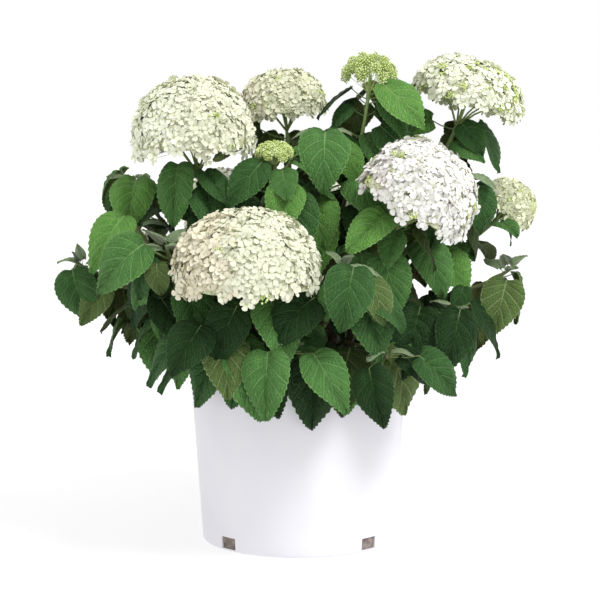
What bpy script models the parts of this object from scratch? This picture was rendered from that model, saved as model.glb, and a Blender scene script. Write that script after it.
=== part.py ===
"""A smooth hydrangea in a white nursery pot, built shoot by shoot.

Metres, +Z up.  The origin is the centre of the pot's flat underside.
Every shoot is one cane: a bare tapering limb rises from the soil, and the leafy mass
above it is one fused solid of stem, opposite leaves and the flower head or young tuft
at its tip.
"""
import math
import random
from collections import namedtuple

import bmesh
import bpy
import numpy as np
from mathutils.bvhtree import BVHTree

# ------------------------------------------------------------------ driving sizes
POT_HEIGHT = 0.244
POT_TOP_RADIUS = 0.1400
POT_BASE_RADIUS = 0.1230
POT_WALL = 0.0022
POT_FLOOR = 0.0030
POT_EDGE = 0.0030           # rounding between wall and underside
BAND_HEIGHT = 0.024         # stiffening band under the rim
BAND_PROUD = 0.0016
POT_SIDES = 40

DRAIN_SLOTS = 4
DRAIN_WIDTH = 0.024
DRAIN_HEIGHT = 0.015
DRAIN_BOTTOM = 0.003
DRAIN_FIRST = math.radians(45)
DRAIN_CUT_DEPTH = 0.03

SOIL_TOP = 0.222
SOIL_CROWN = 0.004          # how much the soil heaps up in the middle
SOIL_SHOULDER = 0.5         # of the rim's radius: out to here the heap is nearly flat
SOIL_SHOULDER_CROWN = 0.7   # of the heap's height left there
SOIL_SIDES = 32

CLEARANCE = 0.0003          # gap between solids that touch

CANE_FOOT_RADIUS = 0.0040
CANE_TIP_RADIUS = 0.0026
FOOT_SHARE = 0.28           # how far out a cane's foot stands, as a share of its tip
FOOT_LEAN_SHARE = 0.10      # and how much farther for a cane that leans flat
FOOT_HANDLE = 0.45          # of the reach: how far a cane rises straight from the soil
TIP_HANDLE = 0.38           # and how far it runs straight into its tip
FIRST_PAIR = 0.036          # from the tip down to the top pair of leaves
INTERNODE = 0.054
INTERNODE_LEAN = 0.22       # shorter by this share on a cane that leans flat
MASS_START = 0.022          # the leafy mass starts this far below its lowest pair
CANE_SAMPLES = 33
CANE_LEVEL = 1              # roundness of a bare limb: six sides
STEM_LEVEL = 0              # and of a leafy stem: four
STEM_INTO_HEAD = 0.25       # of the head's height

LEAF_WIDTH = 0.78           # of its length
LEAF_THICKNESS = 0.013      # of its length, at the midrib
LEAF_STATIONS = (0.07, 0.38, 0.73)      # along the midrib
LEAF_HALF_WIDTHS = (0.82, 1.00, 0.58)   # of half the leaf's width, at the stations
MIDRIB_STATIONS = (0.25, 0.60)
LEAF_FOLD = math.radians(12)            # each half is lifted from the midrib
LEAF_CURL = math.radians(34)            # the midrib turns down this much to its tip
PETIOLE = 0.42              # of the leaf's length
PETIOLE_HALF = 0.0013
PAIR_SCALE = (0.90, 1.05, 1.10, 1.0)    # of the shoot's leaf length, top pair first
EXTRA_SCALE = 0.66                      # and for the leaves between pairs
EXTRA_DROP = 0.005                      # how far under its pair such a leaf stands
INNER_RADIUS = 0.11                     # the dark inside of the crown has none of those
INNER_TOP = 0.44

# How a leaf may lie.  Each has a number of tries: the first is the best, and the later
# ones stray further from it.  A spread is (at the first try, added by the last).
LEAF_TRIES = 60
OUTWARD = 0.75              # how strongly leaves turn towards the outside
OUTWARD_LOW = 0.50          # and how much more where the crown hangs over the pot
LOW_TOP = 0.36              # the crown hangs from this height down
LOW_BAND = 0.10
NEAR_AXIS = 0.05            # closer to the middle than this, outside counts for less
SPIN_SPREAD = 14            # degrees, of a pair's own direction
TURN_SPREAD = (8, 62)
DROOP = 24
DROOP_OUTWARD = 26          # more for a leaf that faces out
DROOP_LOW = 22              # and more where the crown hangs
DROOP_SPREAD = (8, 34)
STEEPEST_LEAF = math.radians(84)
ROLL_SPREAD = 12
TO_LIGHT = math.radians(36) # a leaf at the flanks rolls this far to face front or back
LIGHT_SIDE = 0.05           # leaves turn to the front up to this far behind the middle
FLANK = 0.19                # leaves farther out to the side than this, and lower than
FLANK_TOP = 0.37            # this, hang limp from their stalks
FLANK_DROOP = 78
FLANK_TO_LIGHT = math.radians(56)
RISE = math.radians(28)     # of the stalk
RISE_SPREAD = (10, 26)
SHARPEST_BEND = math.radians(80)        # from the rising stalk down to the blade
LENGTH_SPREAD = 0.06
LENGTH_LOSS = 0.34          # a leaf is shorter by this share at its last try
STALK_SPREAD = (0.15, 0.9)
LEAF_CLEARANCE = 0.0012
ROOTED_SHARE = 0.22         # of a leaf's stalk, left out when room is tested
ROOTED_LENGTH = 0.0065      # at least this much of it
LEAF_SEED = 20
SEED_STEPS = (1000, 100, 10)            # from shoot to shoot, extra leaf, pair to pair

TUFT_PAIRS = {"dome": 0, "tuft": 1, "young": 2}
TUFT_TRIES = 14
TUFT_RISE = (18, 52)        # degrees, outer and inner young leaves
TUFT_RISE_SPREAD = 8
TUFT_RISE_STRAY = (-12, 25)
TUFT_SPIN_SPREAD = (12, 80)
TUFT_OUTWARD = 0.6          # how strongly they turn the way their shoot leans
TUFT_SCALE = (1.25, 0.75)   # of the shoot's radius, their length
TUFT_LENGTH_SPREAD = 0.1
TUFT_LENGTH_LOSS = 0.35
TUFT_STALK = 0.009
TUFT_DROP = 0.004
TUFT_SEED = 7020
TUFT_SEED_STEPS = (40, 2)   # from shoot to shoot, pair to pair

DOME_RINGS = (26, 50, 72, 90)           # degrees from the crown of a flower head
DOME_ROUND = 0.85           # powers that make the dome fuller than an ellipsoid
DOME_FLAT = 0.9
DOME_SIDES = 12
SMALL_HEAD = 0.05           # heads up to this radius are plainer
SMALL_HEAD_SIDES = 8
RIM_RADIUS = 0.84           # of the radius: the rim that turns in underneath
RIM_DROP = 0.13             # of the height
DOME_HOLLOW = 0.06          # of the height: the underside's middle
DOME_SEED = 5
DOME_BUMP = 0.05            # spread of the bumps, and the share of it that is hollows
DOME_DENT = 0.7
RAY_COUNT = 4
RAY_SMALLEST = 0.03         # a head of a smaller radius has none
RAY_RADIUS = 0.0017
RAY_FIRST = 0.3             # of the angle from ray to ray
RAY_STEP = 0.0005           # each ray forks a little lower than the last
RAY_DROP = 0.42             # of the head's radius: how far below it the rays fork
RAY_REACH = 0.55            # of the head's radius
RAY_LIFT = 0.10             # of its height
TEST_MARKS = 14             # along a cane, when room is tested
SIDEWAYS = (0.31, 0.95, 0.05)

# ------------------------------------------------------------------ the shoots
# tip: where the head's base or the tuft stands.  lean and toward: degrees from upright,
# and the compass direction of the lean (0 is +X, 90 is +Y).  spin: direction of the top
# pair of leaves.
Shoot = namedtuple("Shoot", "name tip lean toward end radius height pairs leaf spin")
SHOOTS = (
    Shoot("bloom_front_left", (-0.059, -0.190, 0.346), 8, -90, "dome", 0.091, 0.088, 3, 0.088, 200),
    Shoot("bloom_front_right", (0.134, -0.125, 0.430), 31, -12, "dome", 0.077, 0.085, 3, 0.090, 215),
    Shoot("bloom_upper_left", (-0.128, -0.055, 0.502), 4, 250, "dome", 0.080, 0.090, 3, 0.090, 225),
    Shoot("bloom_upper_right", (0.214, 0.030, 0.557), 17, 0, "dome", 0.078, 0.062, 4, 0.085, 190),
    Shoot("bloom_far_right", (0.266, 0.020, 0.421), 40, -10, "dome", 0.041, 0.043, 3, 0.078, 80),
    Shoot("bud_head_top", (0.090, 0.000, 0.584), 5, 20, "dome", 0.035, 0.034, 4, 0.088, 250),
    Shoot("bud_head_small", (-0.029, -0.080, 0.489), 4, 250, "dome", 0.025, 0.020, 3, 0.085, 230),
    Shoot("bloom_back_left", (-0.018, 0.110, 0.547), 6, 200, "dome", 0.061, 0.060, 3, 0.088, 30),
    Shoot("bloom_rear", (0.020, 0.220, 0.375), 30, 90, "dome", 0.074, 0.086, 2, 0.090, 10),
    Shoot("bloom_rear_left", (-0.100, 0.182, 0.402), 22, 116, "dome", 0.062, 0.072, 3, 0.090, 76),
    Shoot("bloom_rear_right", (0.135, 0.150, 0.445), 20, 50, "dome", 0.070, 0.080, 3, 0.090, 110),
    Shoot("bloom_left_low", (-0.192, 0.112, 0.340), 36, 150, "dome", 0.046, 0.052, 2, 0.085, 80),
    Shoot("tip_far_left", (-0.276, -0.024, 0.354), 52, 180, "young", 0.034, 0.0, 3, 0.078, 250),
    Shoot("tip_far_right", (0.266, -0.035, 0.349), 52, 0, "young", 0.034, 0.0, 3, 0.078, 230),
    Shoot("tip_mid_left", (-0.158, -0.140, 0.385), 12, 215, "young", 0.040, 0.0, 3, 0.094, 60),
    Shoot("tip_centre", (0.051, -0.212, 0.365), 14, -80, "young", 0.036, 0.0, 3, 0.092, 300),
    Shoot("skirt_front_left", (-0.116, -0.184, 0.280), 90, -138, "tuft", 0.026, 0.0, 3, 0.096, 200),
    Shoot("skirt_front", (-0.012, -0.206, 0.264), 92, -84, "tuft", 0.026, 0.0, 3, 0.098, 180),
    Shoot("skirt_front_right", (0.104, -0.186, 0.256), 92, -60, "tuft", 0.026, 0.0, 3, 0.096, 310),
    Shoot("skirt_right", (0.196, -0.096, 0.306), 72, -36, "tuft", 0.026, 0.0, 3, 0.092, 270),
    Shoot("skirt_left", (-0.184, -0.100, 0.314), 72, -152, "tuft", 0.026, 0.0, 3, 0.092, 190),
    Shoot("crown_centre", (0.032, -0.030, 0.518), 6, 270, "tuft", 0.040, 0.0, 3, 0.094, 240),
    Shoot("crown_right", (0.206, -0.030, 0.466), 20, -10, "tuft", 0.036, 0.0, 4, 0.090, 228),
    Shoot("crown_left", (-0.212, 0.015, 0.464), 24, 175, "tuft", 0.036, 0.0, 4, 0.090, 150),
    Shoot("crown_left_front", (-0.204, -0.058, 0.409), 26, 200, "tuft", 0.034, 0.0, 3, 0.094, 120),
    Shoot("skirt_rear_right", (0.205, 0.095, 0.300), 66, 25, "tuft", 0.026, 0.0, 3, 0.092, 90),
    Shoot("skirt_rear", (0.085, 0.205, 0.262), 90, 68, "tuft", 0.026, 0.0, 3, 0.096, 160),
    Shoot("skirt_rear_left", (-0.075, 0.210, 0.262), 90, 110, "tuft", 0.026, 0.0, 3, 0.096, 20),
    Shoot("skirt_left_rear", (-0.200, 0.062, 0.300), 68, 162, "tuft", 0.026, 0.0, 3, 0.092, 60),
)


# ------------------------------------------------------------------ scene and finishes
def clear_scene():
    for thing in list(bpy.data.objects):
        bpy.data.objects.remove(thing, do_unlink=True)


def finish(name, color, roughness):
    """A plain Principled finish."""
    material = bpy.data.materials.new(name)
    material.use_nodes = True
    shader = material.node_tree.nodes["Principled BSDF"]
    shader.inputs["Base Color"].default_value = (*color, 1.0)
    shader.inputs["Roughness"].default_value = roughness
    shader.inputs["Metallic"].default_value = 0.0
    return material


def collection(name):
    group = bpy.data.collections.new(name)
    bpy.context.scene.collection.children.link(group)
    return group


def solid(name, verts, faces, group, material=None):
    """One mesh object from corners and faces."""
    mesh = bpy.data.meshes.new(name)
    mesh.from_pydata([tuple(corner) for corner in verts], [], faces)
    mesh.update()
    if material is not None:
        mesh.materials.append(material)
    thing = bpy.data.objects.new(name, mesh)
    group.objects.link(thing)
    return thing


# ------------------------------------------------------------------ pot and soil
def pot_radius(height):
    """Outer radius of the pot's tapering wall at a height."""
    return POT_BASE_RADIUS + (POT_TOP_RADIUS - POT_BASE_RADIUS) * height / POT_HEIGHT


def turned(name, profile, sides, group, material):
    """A profile of (radius, height) turned round Z, running down its outer side."""
    points = [(radius, 0.0, height) for radius, height in profile]
    edges = [(i, i + 1) for i in range(len(points) - 1)]
    mesh = bpy.data.meshes.new(name)
    mesh.from_pydata(points, edges, [])
    mesh.materials.append(material)
    thing = bpy.data.objects.new(name, mesh)
    group.objects.link(thing)
    screw = thing.modifiers.new("turn", "SCREW")
    screw.axis = "Z"
    screw.angle = math.tau
    screw.steps = sides
    screw.render_steps = sides
    screw.use_merge_vertices = True
    screw.merge_threshold = 0.0001
    screw.use_smooth_shade = True
    return thing


def make_pot(group, cutters, material):
    """The thin pot: tapering wall, stiffening band at the rim and four drain slots."""
    band_foot = POT_HEIGHT - BAND_HEIGHT
    profile = (
        (0.0, POT_FLOOR),
        (pot_radius(POT_FLOOR) - POT_WALL, POT_FLOOR),
        (POT_TOP_RADIUS - POT_WALL, POT_HEIGHT),
        (POT_TOP_RADIUS + BAND_PROUD, POT_HEIGHT),
        (pot_radius(band_foot) + BAND_PROUD, band_foot),
        (pot_radius(band_foot - BAND_PROUD), band_foot - BAND_PROUD),
        (pot_radius(POT_EDGE), POT_EDGE),
        (POT_BASE_RADIUS - POT_EDGE, 0.0),
        (0.0, 0.0),
    )
    pot = turned("pot", profile, POT_SIDES, group, material)
    for index in range(DRAIN_SLOTS):
        angle = DRAIN_FIRST + index * math.tau / DRAIN_SLOTS
        bpy.ops.mesh.primitive_cube_add(size=1.0)
        cutter = bpy.context.object
        cutter.name = f"drain_cutter_{index + 1}"
        for owner in list(cutter.users_collection):
            owner.objects.unlink(cutter)
        cutters.objects.link(cutter)
        cutter.scale = (DRAIN_CUT_DEPTH, DRAIN_WIDTH, DRAIN_HEIGHT)
        middle = DRAIN_BOTTOM + DRAIN_HEIGHT / 2
        cutter.rotation_euler = (0.0, 0.0, angle)
        cutter.location = (
            math.cos(angle) * POT_BASE_RADIUS,
            math.sin(angle) * POT_BASE_RADIUS,
            middle,
        )
        cutter.hide_render = True
        cutter.display_type = "WIRE"
        cut = pot.modifiers.new(f"drain_{index + 1}", "BOOLEAN")
        cut.operation = "DIFFERENCE"
        cut.object = cutter
    return pot


def make_soil(group, material):
    """Bark potting mix that fills the pot to just under its band."""
    gap = POT_WALL + CLEARANCE
    foot = POT_FLOOR + CLEARANCE
    profile = (
        (0.0, SOIL_TOP + SOIL_CROWN),
        (SOIL_SHOULDER * POT_TOP_RADIUS, SOIL_TOP + SOIL_SHOULDER_CROWN * SOIL_CROWN),
        ((pot_radius(SOIL_TOP) - gap) * math.cos(math.pi / POT_SIDES), SOIL_TOP),
        ((pot_radius(foot) - gap) * math.cos(math.pi / POT_SIDES), foot),
        (0.0, foot),
    )
    return turned("soil", profile, SOIL_SIDES, group, material)


# ------------------------------------------------------------------ the path of a cane
def unit(vector):
    """A vector, or each row of an array of them, at length one."""
    return vector / np.linalg.norm(vector, axis=-1, keepdims=True)


def lean_axis(shoot):
    """Direction in which a shoot's tip points."""
    lean = math.radians(shoot.lean)
    toward = math.radians(shoot.toward)
    flat = math.sin(lean)
    return np.array((flat * math.cos(toward), flat * math.sin(toward), math.cos(lean)))


def soil_height(radius):
    """Height of the heaped soil's surface, a little above its facets."""
    shoulder = SOIL_SHOULDER * POT_TOP_RADIUS
    if radius < shoulder:
        return SOIL_TOP + SOIL_CROWN * (1.0 - (1.0 - SOIL_SHOULDER_CROWN) * radius / shoulder)
    rest = (radius - shoulder) / (pot_radius(SOIL_TOP) - shoulder)
    return SOIL_TOP + SOIL_SHOULDER_CROWN * SOIL_CROWN * (1.0 - rest)


class Cane:
    """A smooth path from the soil to a shoot's tip, measured along its length."""

    def __init__(self, shoot):
        tip = np.array(shoot.tip)
        share = FOOT_SHARE + FOOT_LEAN_SHARE * shoot.lean / 90.0
        foot = np.array((tip[0] * share, tip[1] * share, 0.0))
        foot[2] = soil_height(math.hypot(foot[0], foot[1])) + CLEARANCE
        reach = np.linalg.norm(tip - foot)
        rise = foot + np.array((0.0, 0.0, FOOT_HANDLE * reach))
        arrive = tip - TIP_HANDLE * reach * lean_axis(shoot)
        t = np.linspace(0.0, 1.0, CANE_SAMPLES)[:, None]
        self.points = ((1 - t) ** 3 * foot + 3 * (1 - t) ** 2 * t * rise
                       + 3 * (1 - t) * t ** 2 * arrive + t ** 3 * tip)
        steps = np.linalg.norm(np.diff(self.points, axis=0), axis=1)
        self.marks = np.concatenate(((0.0,), np.cumsum(steps)))
        self.length = self.marks[-1]

    def at(self, distance):
        """Point at a distance along the path."""
        return np.array([np.interp(distance, self.marks, self.points[:, k]) for k in range(3)])

    def radius(self, distance):
        """Thickness there: the cane tapers evenly."""
        return CANE_FOOT_RADIUS + (CANE_TIP_RADIUS - CANE_FOOT_RADIUS) * distance / self.length


def tube(name, points, radii, level, group):
    """A tapering round bar along points, as a closed mesh object; level sets its sides."""
    curve = bpy.data.curves.new(name, "CURVE")
    curve.dimensions = "3D"
    curve.bevel_depth = 1.0
    curve.bevel_resolution = level
    curve.use_fill_caps = True
    spline = curve.splines.new("POLY")
    spline.points.add(len(points) - 1)
    for place, point, radius in zip(spline.points, points, radii):
        place.co = (*point, 1.0)
        place.radius = radius
    route = bpy.data.objects.new(name + "_curve", curve)
    bpy.context.scene.collection.objects.link(route)
    bpy.context.view_layer.update()
    seen = route.evaluated_get(bpy.context.evaluated_depsgraph_get())
    mesh = bpy.data.meshes.new_from_object(seen)
    weld = bmesh.new()
    weld.from_mesh(mesh)
    bmesh.ops.remove_doubles(weld, verts=weld.verts, dist=0.00001)
    bmesh.ops.recalc_face_normals(weld, faces=weld.faces)
    weld.to_mesh(mesh)
    weld.free()
    mesh.name = name
    bpy.data.objects.remove(route, do_unlink=True)
    bpy.data.curves.remove(curve)
    thing = bpy.data.objects.new(name, mesh)
    group.objects.link(thing)
    return thing


# ------------------------------------------------------------------ leaf
Leaf = namedtuple("Leaf", "root along droop roll length rise stalk kind")


def stalk_heading(leaf):
    """Direction in which a leaf's stalk rises from its node."""
    return math.cos(leaf.rise) * leaf.along + math.sin(leaf.rise) * np.array((0.0, 0.0, 1.0))


def leaf_shape(leaf, extra=0.0):
    """Corners and faces of one leaf with its stalk, as a closed lens.

    The three-sided stalk leaves the root and rises to the blade's base.  The blade points
    along, dips by droop, turns about its midrib by roll, and its midrib curls down in an
    arc.  Each half is lifted by the fold.  extra thickens the whole leaf.  Only a leaf of
    a pair has the full outline: a small one has fewer corners.
    """
    up = np.array((0.0, 0.0, 1.0))
    length = leaf.length
    stalk = stalk_heading(leaf)
    base = leaf.root + leaf.stalk * stalk
    forward = math.cos(leaf.droop) * leaf.along - math.sin(leaf.droop) * up
    face = math.sin(leaf.droop) * leaf.along + math.cos(leaf.droop) * up
    side = np.cross(forward, face)
    face, side = (math.cos(leaf.roll) * face + math.sin(leaf.roll) * side,
                  math.cos(leaf.roll) * side - math.sin(leaf.roll) * face)

    def midrib(share):
        turn = LEAF_CURL * share
        reach = length * math.sin(turn) / LEAF_CURL
        sink = length * (1.0 - math.cos(turn)) / LEAF_CURL
        return base + reach * forward - sink * face

    def lifted(share, half):
        turn = LEAF_CURL * share
        local_face = math.cos(turn) * face + math.sin(turn) * forward
        lift = abs(half) * math.sin(LEAF_FOLD)
        return midrib(share) + half * math.cos(LEAF_FOLD) * side + lift * local_face

    thick = length * LEAF_THICKNESS / 2
    half_width = length * LEAF_WIDTH / 2
    halves = [half_width * share + extra for share in LEAF_HALF_WIDTHS]
    left = [lifted(s, -h) for s, h in zip(LEAF_STATIONS, halves)]
    right = [lifted(s, h) for s, h in zip(LEAF_STATIONS, halves)]
    tip = midrib(1.0 + extra / length)
    tops = [midrib(s) + (thick + extra) * face for s in MIDRIB_STATIONS]
    unders = [midrib(s) - (thick + extra) * face for s in MIDRIB_STATIONS]
    across = PETIOLE_HALF + extra
    stalk_side = unit(np.cross(stalk, up))
    stalk_face = np.cross(stalk_side, stalk)
    root_ring = [leaf.root - across * stalk_side + across * stalk_face,
                 leaf.root + across * stalk_side + across * stalk_face,
                 leaf.root - across * stalk_face]
    base_ring = [base - across * side + thick * face, base + across * side + thick * face,
                 base - across * face]
    if leaf.kind != "pair":
        verts = root_ring + base_ring + [left[1], right[1], tip, tops[0], unders[0]]
        rl, rr, rb, bl, br, bb, l2, r2, tp, t1, u1 = range(11)
        faces = [
            (rl, rb, rr), (rl, rr, br, bl), (rl, bl, bb, rb), (rr, rb, bb, br),
            (bl, br, t1), (bl, t1, l2), (l2, t1, tp), (br, r2, t1), (r2, tp, t1),
            (bl, u1, bb), (bl, l2, u1), (l2, tp, u1), (br, bb, u1), (br, u1, r2), (r2, u1, tp),
        ]
        return verts, faces
    verts = root_ring + base_ring + left + right + [tip] + tops + unders
    rl, rr, rb, bl, br, bb, l1, l2, l3, r1, r2, r3, tp, t1, t2, u1, u2 = range(17)
    faces = [
        (rl, rb, rr), (rl, rr, br, bl), (rl, bl, bb, rb), (rr, rb, bb, br),
        (bl, br, t1), (bl, t1, l1), (l1, t1, l2), (l2, t1, t2), (l2, t2, l3), (l3, t2, tp),
        (br, r1, t1), (r1, r2, t1), (r2, t2, t1), (r2, r3, t2), (r3, tp, t2),
        (bl, u1, bb), (bl, l1, u1), (l1, l2, u1), (l2, u2, u1), (l2, l3, u2), (l3, tp, u2),
        (br, bb, u1), (br, u1, r1), (r1, u1, r2), (r2, u1, u2), (r2, u2, r3), (r3, u2, tp),
    ]
    return verts, faces


# ------------------------------------------------------------------ flower head
def head_frame(shoot):
    """Two sideways directions and the axis of a head."""
    axis = lean_axis(shoot)
    across = unit(np.cross(np.array((0.0, 1.0, 0.0)), axis))
    return across, np.cross(axis, across), axis


def dome_shape(shoot, index, grow=0.0):
    """A bumpy dome: a rounded top over a rim that turns in underneath."""
    rng = random.Random(DOME_SEED + index)
    across, deep, axis = head_frame(shoot)
    centre = np.array(shoot.tip)
    radius = shoot.radius + grow
    height = shoot.height + grow
    sides = DOME_SIDES if shoot.radius > SMALL_HEAD else SMALL_HEAD_SIDES
    falls = np.radians(DOME_RINGS)
    outs = np.append(radius * np.sin(falls) ** DOME_ROUND, RIM_RADIUS * radius)
    upright = np.maximum(np.cos(falls), 0.0)
    lifts = np.append(height * upright ** DOME_FLAT, -RIM_DROP * height)
    rings = len(outs)
    bumps = np.array([rng.random() - DOME_DENT for _ in range(rings * sides)])
    swell = 1.0 + DOME_BUMP * bumps.reshape(rings, sides, 1)
    stagger = 0.5 * (np.arange(rings)[:, None] % 2)
    turns = math.tau * (np.arange(sides) + stagger)[..., None] / sides
    outer = np.cos(turns) * across + np.sin(turns) * deep
    corners = centre + swell * (outs[:, None, None] * outer + lifts[:, None, None] * axis)
    verts = np.vstack((centre + height * axis, corners.reshape(-1, 3),
                       centre + DOME_HOLLOW * height * axis))
    faces = [(0, 1 + k, 1 + (k + 1) % sides) for k in range(sides)]
    for ring in range(rings - 1):
        here = 1 + ring * sides
        below = here + sides
        for k in range(sides):
            after = (k + 1) % sides
            if ring % 2 == 0:
                faces.append((here + k, below + k, here + after))
                faces.append((here + after, below + k, below + after))
            else:
                faces.append((here + k, below + k, below + after))
                faces.append((here + k, below + after, here + after))
    last = 1 + (rings - 1) * sides
    bottom = len(verts) - 1
    faces += [(last + (k + 1) % sides, last + k, bottom) for k in range(sides)]
    return verts, faces


# ------------------------------------------------------------------ where leaves go
class Room:
    """The shapes already placed, each with its bounds for a quick first test."""

    def __init__(self):
        self.lows = np.empty((0, 3))
        self.highs = np.empty((0, 3))
        self.trees = []

    def fill(self, shape):
        verts, faces = shape
        points = np.array(verts)
        self.lows = np.vstack((self.lows, points.min(axis=0)))
        self.highs = np.vstack((self.highs, points.max(axis=0)))
        self.trees.append(BVHTree.FromPolygons(points.tolist(), faces))

    def is_clear(self, shape):
        verts, faces = shape
        points = np.array(verts)
        near = np.all((self.lows <= points.max(axis=0)) & (self.highs >= points.min(axis=0)), axis=1)
        close = np.flatnonzero(near)
        if not len(close):
            return True
        tree = BVHTree.FromPolygons(points.tolist(), faces)
        return not any(self.trees[k].overlap(tree) for k in close)


def ring_faces(rings, sides):
    """Quads between rings of corners that are numbered ring after ring."""
    here = sides * np.arange(rings - 1)[:, None] + np.arange(sides)
    after = sides * np.arange(rings - 1)[:, None] + (np.arange(sides) + 1) % sides
    return np.stack((here, after, after + sides, here + sides), axis=-1).reshape(-1, 4).tolist()


def bar_shape(points, radii, sides=5):
    """Corners and side faces of a plain round bar, which never runs along SIDEWAYS."""
    points = np.array(points)
    headings = unit(np.gradient(points, axis=0))
    across = unit(np.cross(headings, SIDEWAYS))
    deep = np.cross(headings, across)
    turns = (math.tau * np.arange(sides) / sides)[:, None]
    rings = np.cos(turns) * across[:, None] + np.sin(turns) * deep[:, None]
    verts = points[:, None] + np.array(radii)[:, None, None] * rings
    return verts.reshape(-1, 3), ring_faces(len(points), sides)


def pot_shape(sides=24):
    """The filled pot as a plain cone with its rim and soil, for testing room."""
    rim = POT_HEIGHT + LEAF_CLEARANCE
    heap = SOIL_TOP + SOIL_CROWN + LEAF_CLEARANCE
    radii = np.array((POT_BASE_RADIUS, POT_TOP_RADIUS + 2 * BAND_PROUD,
                      POT_TOP_RADIUS - 2 * POT_WALL, LEAF_CLEARANCE))
    heights = np.array((0.0, rim, rim, heap))
    turns = math.tau * np.arange(sides) / sides
    verts = np.stack((np.outer(radii, np.cos(turns)), np.outer(radii, np.sin(turns)),
                      np.outer(heights, np.ones(sides))), axis=-1)
    return verts.reshape(-1, 3), ring_faces(len(radii), sides)


def cane_leaves(shoot):
    """Distances from the tip of each pair of leaves, top pair first."""
    first = FIRST_PAIR if shoot.radius > SMALL_HEAD else 0.5 * FIRST_PAIR
    step = INTERNODE * (1.0 - INTERNODE_LEAN * shoot.lean / 90.0)
    return [first + step * k for k in range(shoot.pairs)]


def spread(rng, degrees, ease):
    """A random angle: the first spread, and the second one more as the tries go on."""
    return math.radians(rng.uniform(-degrees[0], degrees[0])
                        + rng.uniform(-degrees[1], degrees[1]) * ease)


def leaf_tries(shoot, index, pair, side, node, extra_leaf):
    """The ways one leaf may lie, the best first."""
    per_shoot, per_extra, per_pair = SEED_STEPS
    rng = random.Random(LEAF_SEED + per_shoot * index + per_extra * extra_leaf
                        + per_pair * pair + side)
    size = EXTRA_SCALE if extra_leaf else PAIR_SCALE[pair]
    quarter = pair + extra_leaf
    spin = math.radians(shoot.spin + 90.0 * quarter + 180.0 * side
                        + rng.uniform(-SPIN_SPREAD, SPIN_SPREAD))
    own = np.array((math.cos(spin), math.sin(spin), 0.0))
    outward = np.array((node[0], node[1], 0.0)) / max(math.hypot(node[0], node[1]), NEAR_AXIS)
    low = min(max((LOW_TOP - node[2]) / LOW_BAND, 0.0), 1.0)
    limp = abs(node[0]) > FLANK and node[2] < FLANK_TOP
    tries = []
    for k in range(LEAF_TRIES):
        ease = k / (LEAF_TRIES - 1)
        turn = rng.uniform(-1, 1) * math.radians(TURN_SPREAD[0] + TURN_SPREAD[1] * ease)
        along = unit(own + (OUTWARD + OUTWARD_LOW * low) * outward)
        along = np.array((along[0] * math.cos(turn) - along[1] * math.sin(turn),
                          along[0] * math.sin(turn) + along[1] * math.cos(turn), 0.0))
        facing_out = max(0.0, float(along @ outward))
        droop = math.radians(DROOP + (DROOP_OUTWARD + DROOP_LOW * low) * facing_out)
        droop = math.radians(FLANK_DROOP) if limp else droop
        droop = min(droop + spread(rng, DROOP_SPREAD, ease), STEEPEST_LEAF)
        across = along[0] if node[1] < LIGHT_SIDE else -along[0]
        roll = spread(rng, (ROLL_SPREAD, 0), 0.0) + (FLANK_TO_LIGHT if limp else TO_LIGHT) * across
        length = shoot.leaf * size * (1.0 - LENGTH_LOSS * ease)
        length *= rng.uniform(1.0 - LENGTH_SPREAD, 1.0 + LENGTH_SPREAD)
        rise = RISE * (1.0 - low) + spread(rng, RISE_SPREAD, ease)
        rise = min(rise, SHARPEST_BEND - droop)
        stalk = PETIOLE * length * rng.uniform(1.0 - STALK_SPREAD[0],
                                               1.0 + STALK_SPREAD[0] + STALK_SPREAD[1] * ease)
        tries.append(Leaf(node, along, droop, roll, length, rise, stalk,
                          "extra" if extra_leaf else "pair"))
    return tries


def tuft_tries(shoot, index, pair, side, node):
    """The ways one small young leaf at a leafy tip may stand, the best first."""
    per_shoot, per_pair = TUFT_SEED_STEPS
    rng = random.Random(TUFT_SEED + per_shoot * index + per_pair * pair + side)
    tries = []
    for k in range(TUFT_TRIES):
        ease = k / (TUFT_TRIES - 1)
        spin = math.radians(shoot.spin + 90.0 * (pair + 1) + 180.0 * side)
        spin += spread(rng, TUFT_SPIN_SPREAD, ease)
        own = np.array((math.cos(spin), math.sin(spin), 0.0))
        along = unit(own + TUFT_OUTWARD * lean_axis(shoot) * np.array((1.0, 1.0, 0.0)))
        rise = math.radians(TUFT_RISE[pair] + rng.uniform(-TUFT_RISE_SPREAD, TUFT_RISE_SPREAD)
                            + rng.uniform(*TUFT_RISE_STRAY) * ease)
        length = shoot.radius * TUFT_SCALE[pair] * (1.0 - TUFT_LENGTH_LOSS * ease)
        length *= rng.uniform(1.0 - TUFT_LENGTH_SPREAD, 1.0 + TUFT_LENGTH_SPREAD)
        tries.append(Leaf(node, along, -rise, 0.0, length, rise, TUFT_STALK, "tuft"))
    return tries


def first_clear(tries, room):
    """The first way of lying that touches nothing; the stalk's root is left out of the test."""
    for leaf in tries:
        rooted = max(ROOTED_SHARE, ROOTED_LENGTH / leaf.stalk)
        start = leaf.root + rooted * leaf.stalk * stalk_heading(leaf)
        probe = leaf._replace(root=start, stalk=(1.0 - rooted) * leaf.stalk, kind="pair")
        if room.is_clear(leaf_shape(probe, LEAF_CLEARANCE)):
            return leaf
    return None


def fill_with_canes(room, canes):
    """The pot, every cane and every flower head take their room first."""
    room.fill(pot_shape())
    for index, (shoot, cane) in enumerate(zip(SHOOTS, canes)):
        marks = np.linspace(0.0, cane.length, TEST_MARKS)
        if shoot.end == "dome":
            marks = marks[:-1]
            room.fill(dome_shape(shoot, index, LEAF_CLEARANCE))
        points = [cane.at(m) for m in marks]
        radii = [cane.radius(m) + LEAF_CLEARANCE for m in marks]
        room.fill(bar_shape(points, radii))


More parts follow.
